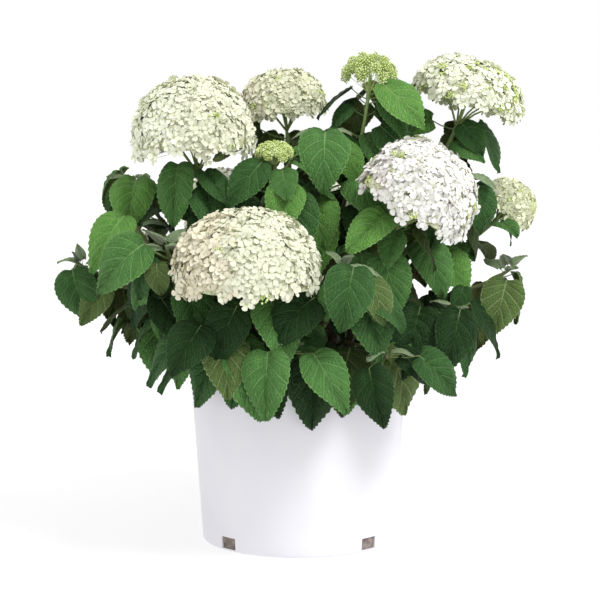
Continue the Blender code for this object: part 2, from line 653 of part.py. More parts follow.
def place_leaves(canes, room):
    """Gives every shoot its leaves, none touching another.

    The young leaves at the tips come first, then the top pairs of all shoots, then the
    next pairs, and last the extra leaves at the same nodes.
    """
    leaves = [[] for _ in SHOOTS]

    def grow(index, tries):
        leaf = first_clear(tries, room)
        if leaf is not None:
            leaves[index].append(leaf)
            room.fill(leaf_shape(leaf))

    for index, (shoot, cane) in enumerate(zip(SHOOTS, canes)):
        for pair in range(TUFT_PAIRS[shoot.end]):
            node = cane.at(cane.length - TUFT_DROP * (2 - pair))
            for side in range(2):
                grow(index, tuft_tries(shoot, index, pair, side, node))
    for extra_leaf in (False, True):
        for pair in range(max(shoot.pairs for shoot in SHOOTS)):
            for index, (shoot, cane) in enumerate(zip(SHOOTS, canes)):
                if pair >= shoot.pairs:
                    continue
                node = cane.at(cane.length - cane_leaves(shoot)[pair] - EXTRA_DROP * extra_leaf)
                inside = math.hypot(node[0], node[1]) < INNER_RADIUS and node[2] < INNER_TOP
                if extra_leaf and inside:
                    continue
                for side in range(2):
                    grow(index, leaf_tries(shoot, index, pair, side, node, extra_leaf))
    return leaves


# ------------------------------------------------------------------ limbs and masses
def keep_outer_shell(mesh):
    """Drops loose scraps and the walls of sealed hollows, and keeps the largest shell."""
    shell = bmesh.new()
    shell.from_mesh(mesh)
    left = set(shell.verts)
    islands = []
    while left:
        island = {left.pop()}
        front = list(island)
        while front:
            for edge in front.pop().link_edges:
                for corner in edge.verts:
                    if corner in left:
                        left.discard(corner)
                        island.add(corner)
                        front.append(corner)
        islands.append(island)
    islands.sort(key=len)
    scraps = [corner for island in islands[:-1] for corner in island]
    bmesh.ops.delete(shell, geom=scraps, context="VERTS")
    shell.to_mesh(mesh)
    shell.free()


def fuse(name, pieces, group):
    """Joins closed pieces into one solid by one Boolean union on a collection."""
    first = pieces[0]
    others = collection(name + "_pieces")
    for piece in pieces[1:]:
        for owner in list(piece.users_collection):
            owner.objects.unlink(piece)
        others.objects.link(piece)
    join = first.modifiers.new("fuse", "BOOLEAN")
    join.operation = "UNION"
    join.operand_type = "COLLECTION"
    join.collection = others
    join.solver = "EXACT"
    join.material_mode = "TRANSFER"
    bpy.context.view_layer.update()
    seen = first.evaluated_get(bpy.context.evaluated_depsgraph_get())
    mesh = bpy.data.meshes.new_from_object(seen)
    keep_outer_shell(mesh)
    mesh.name = name
    for piece in pieces:
        bpy.data.objects.remove(piece, do_unlink=True)
    bpy.data.collections.remove(others)
    thing = bpy.data.objects.new(name, mesh)
    group.objects.link(thing)
    return thing


def limb_end(cane, start):
    """Where the bare cane stops under its mass: just clear of it, allowing for the bend."""
    below = unit(cane.at(start) - cane.at(0.5 * start))
    above = unit(cane.at(start + MASS_START) - cane.at(start))
    bend = math.acos(min(1.0, float(below @ above)))
    return start - CLEARANCE - cane.radius(start) * bend


def make_limb(shoot, cane, end, group, material):
    """The bare foot of a cane, from the soil to where its foliage starts.

    The lowest corner of its slanting end just clears the soil.
    """
    marks = np.linspace(0.0, end, 3)
    points = [cane.at(m) for m in marks]
    radii = [cane.radius(m) for m in marks]
    rising = unit(points[1] - points[0])
    slant = math.sqrt(1.0 - rising[2] ** 2)
    points[0] = points[0] + radii[0] * slant / rising[2] * rising
    limb = tube(shoot.name + "_cane", points, radii, CANE_LEVEL, group)
    limb.data.materials.append(material)
    return limb


def make_rays(shoot, cane, group, material):
    """The short branches that spread from the stalk's end into a flower head."""
    across, deep, axis = head_frame(shoot)
    centre = np.array(shoot.tip)
    fork = cane.at(cane.length - RAY_DROP * shoot.radius)
    rays = []
    for k in range(RAY_COUNT):
        turn = math.tau * (k + RAY_FIRST) / RAY_COUNT
        outer = math.cos(turn) * across + math.sin(turn) * deep
        start = fork + RAY_STEP * outer - 2 * RAY_STEP * k * axis
        end = centre + RAY_REACH * shoot.radius * outer + RAY_LIFT * shoot.height * axis
        verts, faces = bar_shape([start, end], [RAY_RADIUS, RAY_RADIUS], 3)
        faces = faces + [(2, 1, 0), (3, 4, 5)]
        rays.append(solid(f"{shoot.name}_ray_{k}", verts, faces, group, material))
    return rays


def make_mass(shoot, index, cane, start, leaves, group, foliage, blossom):
    """One leafy mass: stem, leaves and the head at its tip, fused."""
    marks = [start] + [cane.length - d for d in reversed(cane_leaves(shoot))] + [cane.length]
    points = [cane.at(m) for m in marks]
    radii = [cane.radius(m) for m in marks]
    if shoot.end == "dome":
        points.append(points[-1] + STEM_INTO_HEAD * shoot.height * lean_axis(shoot))
        radii.append(radii[-1])
    stem = tube(shoot.name + "_stem", points, radii, STEM_LEVEL, group)
    stem.data.materials.append(foliage)
    pieces = [stem]
    for k, leaf in enumerate(leaves):
        pieces.append(solid(f"{shoot.name}_leaf_{k}", *leaf_shape(leaf), group, foliage))
    if shoot.end == "dome":
        pieces.append(solid(shoot.name + "_dome", *dome_shape(shoot, index), group, blossom))
        if shoot.radius > RAY_SMALLEST:
            pieces += make_rays(shoot, cane, group, foliage)
    return fuse(shoot.name, pieces, group)


# ------------------------------------------------------------------ the plant
def main():
    clear_scene()
    plant = collection("potted_hydrangea")
    cutters = collection("cutters")
    pot_white = finish("pot_white", (0.87, 0.86, 0.90), 0.38)
    bark_mix = finish("bark_mix", (0.11, 0.085, 0.065), 0.95)
    cane_bark = finish("cane_bark", (0.30, 0.25, 0.15), 0.75)
    foliage = finish("foliage", (0.09, 0.22, 0.06), 0.55)
    blossom = finish("blossom", (0.80, 0.82, 0.66), 0.70)
    make_pot(plant, cutters, pot_white)
    make_soil(plant, bark_mix)
    canes = [Cane(shoot) for shoot in SHOOTS]
    room = Room()
    fill_with_canes(room, canes)
    leaves = place_leaves(canes, room)
    for index, (shoot, cane) in enumerate(zip(SHOOTS, canes)):
        start = cane.length - cane_leaves(shoot)[-1] - MASS_START
        make_limb(shoot, cane, limb_end(cane, start), plant, cane_bark)
        make_mass(shoot, index, cane, start, leaves[index], plant, foliage, blossom)


main()
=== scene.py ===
"""Looks of a smooth hydrangea in a white nursery pot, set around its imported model.

Metres, +Z up, in the model's frame.  The sections follow the plant as it is put together:
pot, soil, canes, leaves and flower heads, then the floor, the light and the camera.
"""

import itertools
import math
import random
from collections import namedtuple

import bpy
import numpy as np
from mathutils.bvhtree import BVHTree
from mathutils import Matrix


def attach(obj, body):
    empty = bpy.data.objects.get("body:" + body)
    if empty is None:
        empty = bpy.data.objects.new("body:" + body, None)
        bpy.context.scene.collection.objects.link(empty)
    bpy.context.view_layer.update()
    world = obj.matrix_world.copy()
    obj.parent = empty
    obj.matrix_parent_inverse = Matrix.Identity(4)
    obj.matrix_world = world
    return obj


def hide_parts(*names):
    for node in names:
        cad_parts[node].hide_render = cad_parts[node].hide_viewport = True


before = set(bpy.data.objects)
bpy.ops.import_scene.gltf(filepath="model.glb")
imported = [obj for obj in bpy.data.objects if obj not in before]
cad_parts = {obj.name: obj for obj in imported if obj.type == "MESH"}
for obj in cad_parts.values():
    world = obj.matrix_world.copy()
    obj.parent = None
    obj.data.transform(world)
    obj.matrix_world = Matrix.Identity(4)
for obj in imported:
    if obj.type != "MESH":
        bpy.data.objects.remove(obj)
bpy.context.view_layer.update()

# ---------------------------------------------------------------- pot
# The grower's pot: injection-moulded white plastic with a thin tapering wall, a stiffening
# band under the rim and four drain slots cut where the wall meets the floor.
POT_HEIGHT = 0.244
POT_TOP_RADIUS = 0.1400
POT_BASE_RADIUS = 0.1230
POT_WALL = 0.0022
POT_FLOOR = 0.0030
POT_EDGE = 0.0030
BAND_HEIGHT = 0.024
BAND_PROUD = 0.0016
LIP_ROUND = 0.0010          # rounding of the rim's and the band's edges
POT_SIDES = 192
SLOT_SIDES = 6              # of the pot's sides that one drain slot is wide
DRAIN_SLOTS = 4
DRAIN_BOTTOM = 0.003
DRAIN_TOP = 0.018
RIM_DIP = 0.0004            # the moulded wall is slightly out of round
OVAL_TURN = 0.7             # and this turns its wide sides round the pot
FLOOR_SHARES = (0.3, 0.7, 1.0)          # of the floor's radius: the rings on it
UNDER_SHARES = (0.6, 0.25)              # and those under the pot, of the foot's radius
INSIDE_RINGS = (0.06, 0.11, 0.16, 0.21) # heights of the rings on the wall, going up
OUTSIDE_RINGS = (0.19, 0.15, 0.10, 0.05)            # and coming down
POT_WHITE = (0.83, 0.82, 0.87)


def pot_radius(height):
    """Outer radius of the pot's tapering wall at a height."""
    return POT_BASE_RADIUS + (POT_TOP_RADIUS - POT_BASE_RADIUS) * height / POT_HEIGHT


def unit(vector):
    """A vector, or each row of an array of them, at length one."""
    return vector / np.linalg.norm(vector, axis=-1, keepdims=True)


def arc(centre, radius, start, end, count=5):
    """Points (radius, height) of a circular arc between two angles in degrees."""
    turns = np.radians(np.linspace(start, end, count))
    return [(centre[0] + radius * math.cos(t), centre[1] + radius * math.sin(t)) for t in turns]


def mesh_piece(name, verts, faces, material, soft_up_to, maps=None):
    """A smooth-shaded mesh object from corner and face arrays, at the origin.

    faces is a list of index arrays, each (count, corners per face).  maps gives the corner
    of every face its place on the piece's own map.  Edges that fold more than soft_up_to
    degrees stay sharp.
    """
    mesh = bpy.data.meshes.new(name)
    loops = np.concatenate([part.reshape(-1) for part in faces]).astype(np.int32)
    sizes = np.concatenate([np.full(len(part), part.shape[1]) for part in faces])
    mesh.vertices.add(len(verts))
    mesh.vertices.foreach_set("co", np.asarray(verts, dtype=np.float32).reshape(-1))
    mesh.loops.add(len(loops))
    mesh.loops.foreach_set("vertex_index", loops)
    mesh.polygons.add(len(sizes))
    starts = np.concatenate(((0,), np.cumsum(sizes)[:-1])).astype(np.int32)
    mesh.polygons.foreach_set("loop_start", starts)
    mesh.polygons.foreach_set("use_smooth", np.ones(len(sizes), dtype=bool))
    mesh.update(calc_edges=True)
    if maps is not None:
        layer = mesh.uv_layers.new(name="OFBake")
        layer.uv.foreach_set("vector", np.asarray(maps, dtype=np.float32).reshape(-1))
    mesh.set_sharp_from_angle(angle=math.radians(soft_up_to))
    mesh.materials.append(material)
    piece = bpy.data.objects.new(name, mesh)
    bpy.context.scene.collection.objects.link(piece)
    return piece


class Finish:
    """A Principled material with short calls that add and link its nodes."""

    def __init__(self, name, color, roughness, **sockets):
        self.material = bpy.data.materials.new(name)
        self.material.use_nodes = True
        self.tree = self.material.node_tree
        self.shader = self.tree.nodes["Principled BSDF"]
        self.shader.inputs["Base Color"].default_value = (*color, 1.0)
        self.shader.inputs["Roughness"].default_value = roughness
        for socket, value in sockets.items():
            self.shader.inputs[socket.replace("_", " ")].default_value = value

    def add(self, kind, inputs=(), **settings):
        """A node of a kind; inputs pairs its sockets with values or other sockets."""
        node = self.tree.nodes.new("ShaderNode" + kind)
        for key, value in settings.items():
            setattr(node, key, value)
        for socket, value in inputs:
            if isinstance(value, bpy.types.NodeSocket):
                self.tree.links.new(value, node.inputs[socket])
            else:
                node.inputs[socket].default_value = value
        return node

    def math(self, operation, first, second=0.0, third=0.0):
        """The result of a Math node."""
        node = self.add("Math", ((0, first), (1, second), (2, third)), operation=operation)
        return node.outputs[0]

    def fall(self, value):
        """One where the value is 0, falling to nothing where it reaches 1."""
        return self.math("SUBTRACT", 1.0, self.math("MINIMUM", value, 1.0))

    def ramp(self, factor, *stops):
        """A colour ramp through stops of (position, colour)."""
        node = self.add("ValToRGB", ((0, factor),))
        marks = node.color_ramp.elements
        while len(marks) < len(stops):
            marks.new(0.5)
        for mark, (position, color) in zip(marks, stops):
            mark.position = position
            mark.color = (*color, 1.0)
        return node.outputs["Color"]

    def mix(self, factor, first, second):
        """Two colours mixed by a factor."""
        node = self.add("Mix", data_type="RGBA", blend_type="MIX")
        for socket, value in ((0, factor), (6, first), (7, second)):
            if isinstance(value, bpy.types.NodeSocket):
                self.tree.links.new(value, node.inputs[socket])
            else:
                node.inputs[socket].default_value = value if socket == 0 else (*value, 1.0)
        return node.outputs[2]

    def place(self):
        """Object coordinates, in metres."""
        return self.add("TexCoord").outputs["Object"]

    def noise(self, place, scale, detail):
        """A noise value at a scale, in waves a metre."""
        inputs = (("Vector", place), ("Scale", scale), ("Detail", detail))
        return self.add("TexNoise", inputs).outputs["Fac"]

    def mottle(self, scale, detail, *stops):
        """Colours the skin by a noise value through a ramp, and gives that value."""
        value = self.noise(self.place(), scale, detail)
        self.color(self.ramp(value, *stops))
        return value

    def color(self, socket):
        """Links the base colour."""
        self.tree.links.new(socket, self.shader.inputs["Base Color"])

    def rough(self, socket):
        """Links the roughness."""
        self.tree.links.new(socket, self.shader.inputs["Roughness"])

    def bump(self, height, distance, strength):
        """Relief from a height value; distance is its depth in metres."""
        inputs = (("Height", height), ("Distance", distance), ("Strength", strength))
        node = self.add("Bump", inputs)
        self.tree.links.new(node.outputs["Normal"], self.shader.inputs["Normal"])


def fan(rim, rim_after, corner):
    """Triangles from each pair of neighbours on a rim to one corner."""
    return np.stack((np.full(len(rim), corner), rim, rim_after), axis=-1)


def turned_faces(rings, sides):
    """Quads (rings - 1, sides, 4) between rings of corners, and the two fans that close them.

    The corners are numbered ring after ring, then the middles of the first and the last.
    """
    here = np.arange(sides)
    after = (here + 1) % sides
    ring = sides * np.arange(rings - 1)[:, None]
    quads = np.stack((ring + here, ring + sides + here, ring + sides + after, ring + after), axis=-1)
    last, middle = sides * (rings - 1), sides * rings
    return quads, [fan(here, after, middle), fan(last + after, last + here, middle + 1)]


def pot_surface():
    """The pot as one closed profile turned round Z.

    The profile runs up the inside from the floor's middle, over the rounded rim, down the
    band and the wall, round the foot and back under the floor.  At each drain slot the
    quads of the inner and the outer wall are left out and the cut's edge is closed.
    """
    band_foot = POT_HEIGHT - BAND_HEIGHT
    floor_radius = pot_radius(POT_FLOOR) - POT_WALL
    rim_in = (POT_TOP_RADIUS - POT_WALL + LIP_ROUND, POT_HEIGHT - LIP_ROUND)
    rim_out = (POT_TOP_RADIUS + BAND_PROUD - LIP_ROUND, POT_HEIGHT - LIP_ROUND)
    band_edge = (pot_radius(band_foot) + BAND_PROUD - LIP_ROUND, band_foot + LIP_ROUND)
    foot = (POT_BASE_RADIUS - POT_EDGE, POT_EDGE)
    inside = [(share * floor_radius, POT_FLOOR) for share in FLOOR_SHARES]
    inside += [(pot_radius(z) - POT_WALL, z) for z in (DRAIN_TOP, *INSIDE_RINGS)]
    over = arc(rim_in, LIP_ROUND, 180, 90) + arc(rim_out, LIP_ROUND, 90, 0)
    over += arc(band_edge, LIP_ROUND, 0, -90)
    down = [(pot_radius(z), z) for z in (band_foot, *OUTSIDE_RINGS, DRAIN_TOP, DRAIN_BOTTOM)]
    under = arc(foot, POT_EDGE, -8, -90, 6) + [(share * foot[0], 0.0) for share in UNDER_SHARES]
    profile = np.array(inside + over + down + under)
    turns = math.tau * np.arange(POT_SIDES) / POT_SIDES
    wave = 1.0 + RIM_DIP / POT_TOP_RADIUS * np.sin(2 * turns + OVAL_TURN)
    radii = profile[:, :1] * np.where(profile[:, 1:] > 0.5 * POT_HEIGHT, wave, 1.0)
    rings = np.stack((radii * np.cos(turns), radii * np.sin(turns),
                      np.broadcast_to(profile[:, 1:], radii.shape)), axis=-1)
    verts = np.vstack((rings.reshape(-1, 3), (0.0, 0.0, POT_FLOOR), (0.0, 0.0, 0.0)))
    quads, caps = turned_faces(len(profile), POT_SIDES)
    here = np.arange(POT_SIDES)
    floor_ring = len(FLOOR_SHARES) - 1
    wall_ring = len(inside) + len(over) + len(down) - 2
    slot = POT_SIDES // DRAIN_SLOTS
    shift = slot // 2 - SLOT_SIDES // 2
    cut = (here - shift) % slot < SLOT_SIDES
    keep = np.ones(quads.shape[:2], dtype=bool)
    keep[floor_ring, cut] = False
    keep[wall_ring, cut] = False
    inner_foot, inner_top, outer_top, outer_foot = (
        POT_SIDES * k + here for k in (floor_ring, floor_ring + 1, wall_ring, wall_ring + 1))
    step = (here + 1) % POT_SIDES - here
    first, last = cut & ~np.roll(cut, 1), cut & ~np.roll(cut, -1)
    edges = [
        np.stack((inner_foot, outer_foot, outer_foot + step, inner_foot + step), -1)[cut],
        np.stack((inner_top, inner_top + step, outer_top + step, outer_top), -1)[cut],
        np.stack((inner_top, outer_top, outer_foot, inner_foot), -1)[first],
        np.stack((inner_top, inner_foot, outer_foot, outer_top), -1)[last] + step[last, None],
    ]
    return verts, [quads[keep]] + edges + caps


pot_plastic = Finish("white_pot_plastic", POT_WHITE, 0.42, Specular_IOR_Level=0.45)
spot = pot_plastic.place()
cloud = pot_plastic.noise(spot, 9.0, 2.0)
pot_plastic.color(pot_plastic.ramp(cloud, (0.3, (0.80, 0.79, 0.85)), (0.7, (0.85, 0.845, 0.885))))
pot_plastic.rough(pot_plastic.math("MULTIPLY_ADD", pot_plastic.noise(spot, 45.0, 4.0), 0.16, 0.34))
pot_plastic.bump(pot_plastic.noise(spot, 900.0, 2.0), 0.00006, 0.5)
pot = mesh_piece("pot_shell", *pot_surface(), pot_plastic.material, soft_up_to=50)
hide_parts("pot")
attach(pot, "root")


# ---------------------------------------------------------------- soil
# Composted-bark potting mix, filled to just under the pot's band and heaped a little in the
# middle, with coarse chips of bark lying loose on top of it.  It is paler low in the pot,
# where it shows through the drain slots.
CLEARANCE = 0.0003
SOIL_TOP = 0.222
SOIL_CROWN = 0.004
SOIL_SHOULDER = 0.5         # of the rim's radius: out to here the heap is nearly flat
SOIL_SHOULDER_CROWN = 0.7   # of the heap's height left there
SOIL_RINGS = 70
SOIL_SIDES = 240
SOIL_LUMPS = 0.0016
LUMP_WAVES = 40
LUMP_LENGTHS = (0.005, 0.030)   # shortest and longest wave of the relief
LUMP_GAIN = 1.4
CHIP_COUNT = 620
CHIP_LENGTHS = (0.006, 0.016)
CHIP_WIDTHS = (0.3, 0.6)    # of the chip's length
CHIP_DEPTHS = (0.10, 0.22)
CHIP_CORNERS = (0.55, 1.15) # how far each corner is drawn in or out
CHIP_TILT = 0.25
CHIP_REST = 0.0008          # over the heap's surface
PALE_TOP = 0.040             # the mix is paler under this height
PALE_BAND = 0.010
SOIL_SEED = 8


def soil_height(radius):
    """Height of the heaped soil's surface, a little above its facets."""
    shoulder = SOIL_SHOULDER * POT_TOP_RADIUS
    if radius < shoulder:
        return SOIL_TOP + SOIL_CROWN * (1.0 - (1.0 - SOIL_SHOULDER_CROWN) * radius / shoulder)
    rest = (radius - shoulder) / (pot_radius(SOIL_TOP) - shoulder)
    return SOIL_TOP + SOIL_SHOULDER_CROWN * SOIL_CROWN * (1.0 - rest)


def lumps(x, y, rng):
    """Rough relief between about -1 and 1: a sum of cosine waves of random headings."""
    lengths = np.geomspace(*LUMP_LENGTHS, LUMP_WAVES)
    headings = rng.uniform(0, math.tau, LUMP_WAVES)
    phases = rng.uniform(0, math.tau, LUMP_WAVES)
    share = lengths / np.sqrt((lengths ** 2).sum())
    across = x[..., None] * np.cos(headings) + y[..., None] * np.sin(headings)
    return (share * np.cos(math.tau * across / lengths + phases)).sum(axis=-1) * LUMP_GAIN


def soil_surface():
    """A disc of rings whose height is the heap plus lumps, closed by a wall and a floor."""
    edge = pot_radius(SOIL_TOP) - POT_WALL - CLEARANCE
    foot = pot_radius(POT_FLOOR) - POT_WALL - CLEARANCE
    radii = np.linspace(edge / SOIL_RINGS, edge, SOIL_RINGS)
    turns = math.tau * np.arange(SOIL_SIDES) / SOIL_SIDES
    x, y = np.outer(radii, np.cos(turns)), np.outer(radii, np.sin(turns))
    heap = np.array([soil_height(radius) for radius in radii])[:, None]
    z = heap + SOIL_LUMPS * lumps(x, y, np.random.default_rng(SOIL_SEED))
    floor = POT_FLOOR + CLEARANCE
    rings = [np.stack((x, y, z), axis=-1)]
    for radius, height in ((foot, floor), (0.5 * foot, floor)):
        rings.append(np.stack((radius * np.cos(turns), radius * np.sin(turns),
                               np.full(SOIL_SIDES, height)), axis=-1)[None])
    rings = np.concatenate(rings)
    verts = np.vstack((rings.reshape(-1, 3), (0, 0, z[0].mean()), (0, 0, floor)))
    quads, caps = turned_faces(len(rings), SOIL_SIDES)
    return verts, [quads.reshape(-1, 4)] + caps


def chip_surfaces():
    """Flakes of bark: boxes whose eight corners are drawn in or out, strewn over the soil."""
    rng = np.random.default_rng(SOIL_SEED + 1)
    corners = np.array([(x, y, z) for z in (-1, 1) for x, y in ((-1, -1), (1, -1), (1, 1), (-1, 1))])
    quads = np.array(((0, 3, 2, 1), (4, 5, 6, 7), (0, 1, 5, 4), (1, 2, 6, 5), (2, 3, 7, 6), (3, 0, 4, 7)))
    long = rng.uniform(*CHIP_LENGTHS, CHIP_COUNT)
    sizes = np.stack((long, long * rng.uniform(*CHIP_WIDTHS, CHIP_COUNT),
                      long * rng.uniform(*CHIP_DEPTHS, CHIP_COUNT)), axis=-1) / 2
    shape = corners * sizes[:, None] * rng.uniform(*CHIP_CORNERS, (CHIP_COUNT, 8, 3))
    spin = rng.uniform(0, math.tau, CHIP_COUNT)
    tilt = rng.normal(0, CHIP_TILT, (CHIP_COUNT, 2))
    far = (pot_radius(SOIL_TOP) - POT_WALL - CHIP_LENGTHS[1] / 2) * np.sqrt(rng.uniform(0, 1, CHIP_COUNT))
    x = shape[..., 0] * np.cos(spin)[:, None] - shape[..., 1] * np.sin(spin)[:, None]
    y = shape[..., 0] * np.sin(spin)[:, None] + shape[..., 1] * np.cos(spin)[:, None]
    z = shape[..., 2] + x * tilt[:, :1] + y * tilt[:, 1:]
    turn = rng.uniform(0, math.tau, CHIP_COUNT)
    rest = np.array([soil_height(radius) for radius in far]) + CHIP_REST
    centre = np.stack((far * np.cos(turn), far * np.sin(turn), rest), axis=-1)
    verts = np.stack((x, y, z), axis=-1) + centre[:, None]
    faces = quads + 8 * np.arange(CHIP_COUNT)[:, None, None]
    return verts.reshape(-1, 3), [faces.reshape(-1, 4)]


potting_mix = Finish("bark_mix", (0.045, 0.032, 0.022), 0.95, Specular_IOR_Level=0.25)
spot = potting_mix.place()
grain = potting_mix.noise(spot, 160.0, 5.0)
loose = potting_mix.ramp(grain, (0.30, (0.016, 0.011, 0.008)), (0.52, (0.060, 0.042, 0.028)),
                         (0.72, (0.15, 0.11, 0.075)))
# Paler mix low in the pot, which shows through the drain slots.
pale_low = potting_mix.ramp(grain, (0.30, (0.15, 0.122, 0.110)), (0.70, (0.34, 0.285, 0.26)))
height = potting_mix.add("SeparateXYZ", ((0, spot),)).outputs["Z"]
at_slots = potting_mix.math("MULTIPLY_ADD", height, -1.0 / PALE_BAND, PALE_TOP / PALE_BAND)
potting_mix.color(potting_mix.mix(at_slots, loose, pale_low))
potting_mix.bump(grain, 0.002, 0.8)
soil = mesh_piece("potting_mix", *soil_surface(), potting_mix.material, soft_up_to=60)
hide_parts("soil")
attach(soil, "root")

chip_bark = Finish("bark_chips", (0.12, 0.075, 0.045), 0.9, Specular_IOR_Level=0.25)
streak = chip_bark.mottle(240.0, 4.0, (0.35, (0.05, 0.030, 0.018)), (0.65, (0.20, 0.13, 0.08)))
chip_bark.bump(streak, 0.0006, 0.7)
chips = mesh_piece("bark_chips", *chip_surfaces(), chip_bark.material, soft_up_to=30)
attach(chips, "root")


# ---------------------------------------------------------------- canes
# One cane carries each shoot.  Its bare foot is last year's wood, grey-brown with fissured
# bark and swollen at the old leaf scars; above the lowest leaves it is this year's green
# stem, thickened at each pair of leaves.
CANE_FOOT_RADIUS = 0.0040
CANE_TIP_RADIUS = 0.0026
FOOT_SHARE = 0.28           # how far out a cane's foot stands, as a share of its tip
FOOT_LEAN_SHARE = 0.10      # and how much farther for a cane that leans flat
FOOT_HANDLE = 0.45          # of the reach: how far a cane rises straight from the soil
TIP_HANDLE = 0.38           # and how far it runs straight into its tip
FIRST_PAIR = 0.036          # from the tip down to the top pair of leaves
INTERNODE = 0.054
INTERNODE_LEAN = 0.22       # shorter by this share on a cane that leans flat
MASS_START = 0.022          # the leafy mass starts this far below its lowest pair
CANE_SAMPLES = 33
STEM_INTO_HEAD = 0.25       # of the head's height
SMALL_HEAD = 0.05           # heads up to this radius are plainer, with a closer first pair
SIDEWAYS = (0.31, 0.95, 0.05)           # few tubes run along it
OTHER_SIDEWAYS = (0.95, -0.31, 0.05)    # taken for one that nearly does
NEARLY_ALONG = 0.8
BARK_SIDES = 16
BARK_MARKS = 60
BARK_RELIEF = 0.07          # of the radius
BARK_RIDGES = (3, 5, 8)     # round the cane
RIDGE_TWIST = 60            # radians a metre, at most, to either side
RIDGE_BREAKS = (250, 600)   # radians a metre along them
BREAK_DEPTH = 0.4
FIRST_SCAR = 0.012          # above the soil
SCAR_SPACING = 0.038
SCAR_SWELL = 0.30           # of the radius
SCAR_LENGTH = 0.0035
STEM_SIDES = 10
STEM_MARKS = 48
STEM_SHARE = 0.85           # of the cane's radius, between the nodes
NODE_SWELL = 0.35
NODE_LENGTH = 0.004
BUD_STEP = 0.2              # a leafy stem ends in a small bud
BUD_SHARE = 0.5
CANE_SEED = 3

Shoot = namedtuple("Shoot", "name tip lean toward end radius height pairs leaf spin")
SHOOTS = (
    Shoot("bloom_front_left", (-0.059, -0.190, 0.346), 8, -90, "dome", 0.091, 0.088, 3, 0.088, 200),
    Shoot("bloom_front_right", (0.134, -0.125, 0.430), 31, -12, "dome", 0.077, 0.085, 3, 0.090, 215),
    Shoot("bloom_upper_left", (-0.128, -0.055, 0.502), 4, 250, "dome", 0.080, 0.090, 3, 0.090, 225),
    Shoot("bloom_upper_right", (0.214, 0.030, 0.557), 17, 0, "dome", 0.078, 0.062, 4, 0.085, 190),
    Shoot("bloom_far_right", (0.266, 0.020, 0.421), 40, -10, "dome", 0.041, 0.043, 3, 0.078, 80),
    Shoot("bud_head_top", (0.090, 0.000, 0.584), 5, 20, "dome", 0.035, 0.034, 4, 0.088, 250),
    Shoot("bud_head_small", (-0.029, -0.080, 0.489), 4, 250, "dome", 0.025, 0.020, 3, 0.085, 230),
    Shoot("bloom_back_left", (-0.018, 0.110, 0.547), 6, 200, "dome", 0.061, 0.060, 3, 0.088, 30),
    Shoot("bloom_rear", (0.020, 0.220, 0.375), 30, 90, "dome", 0.074, 0.086, 2, 0.090, 10),
    Shoot("bloom_rear_left", (-0.100, 0.182, 0.402), 22, 116, "dome", 0.062, 0.072, 3, 0.090, 76),
    Shoot("bloom_rear_right", (0.135, 0.150, 0.445), 20, 50, "dome", 0.070, 0.080, 3, 0.090, 110),
    Shoot("bloom_left_low", (-0.192, 0.112, 0.340), 36, 150, "dome", 0.046, 0.052, 2, 0.085, 80),
    Shoot("tip_far_left", (-0.276, -0.024, 0.354), 52, 180, "young", 0.034, 0.0, 3, 0.078, 250),
    Shoot("tip_far_right", (0.266, -0.035, 0.349), 52, 0, "young", 0.034, 0.0, 3, 0.078, 230),
    Shoot("tip_mid_left", (-0.158, -0.140, 0.385), 12, 215, "young", 0.040, 0.0, 3, 0.094, 60),
    Shoot("tip_centre", (0.051, -0.212, 0.365), 14, -80, "young", 0.036, 0.0, 3, 0.092, 300),
    Shoot("skirt_front_left", (-0.116, -0.184, 0.280), 90, -138, "tuft", 0.026, 0.0, 3, 0.096, 200),
    Shoot("skirt_front", (-0.012, -0.206, 0.264), 92, -84, "tuft", 0.026, 0.0, 3, 0.098, 180),
    Shoot("skirt_front_right", (0.104, -0.186, 0.256), 92, -60, "tuft", 0.026, 0.0, 3, 0.096, 310),
    Shoot("skirt_right", (0.196, -0.096, 0.306), 72, -36, "tuft", 0.026, 0.0, 3, 0.092, 270),
    Shoot("skirt_left", (-0.184, -0.100, 0.314), 72, -152, "tuft", 0.026, 0.0, 3, 0.092, 190),
    Shoot("crown_centre", (0.032, -0.030, 0.518), 6, 270, "tuft", 0.040, 0.0, 3, 0.094, 240),
    Shoot("crown_right", (0.206, -0.030, 0.466), 20, -10, "tuft", 0.036, 0.0, 4, 0.090, 228),
    Shoot("crown_left", (-0.212, 0.015, 0.464), 24, 175, "tuft", 0.036, 0.0, 4, 0.090, 150),
    Shoot("crown_left_front", (-0.204, -0.058, 0.409), 26, 200, "tuft", 0.034, 0.0, 3, 0.094, 120),
    Shoot("skirt_rear_right", (0.205, 0.095, 0.300), 66, 25, "tuft", 0.026, 0.0, 3, 0.092, 90),
    Shoot("skirt_rear", (0.085, 0.205, 0.262), 90, 68, "tuft", 0.026, 0.0, 3, 0.096, 160),
    Shoot("skirt_rear_left", (-0.075, 0.210, 0.262), 90, 110, "tuft", 0.026, 0.0, 3, 0.096, 20),
    Shoot("skirt_left_rear", (-0.200, 0.062, 0.300), 68, 162, "tuft", 0.026, 0.0, 3, 0.092, 60),
)


def lean_axis(shoot):
    """Direction in which a shoot's tip points."""
    lean = math.radians(shoot.lean)
    toward = math.radians(shoot.toward)
    flat = math.sin(lean)
    return np.array((flat * math.cos(toward), flat * math.sin(toward), math.cos(lean)))


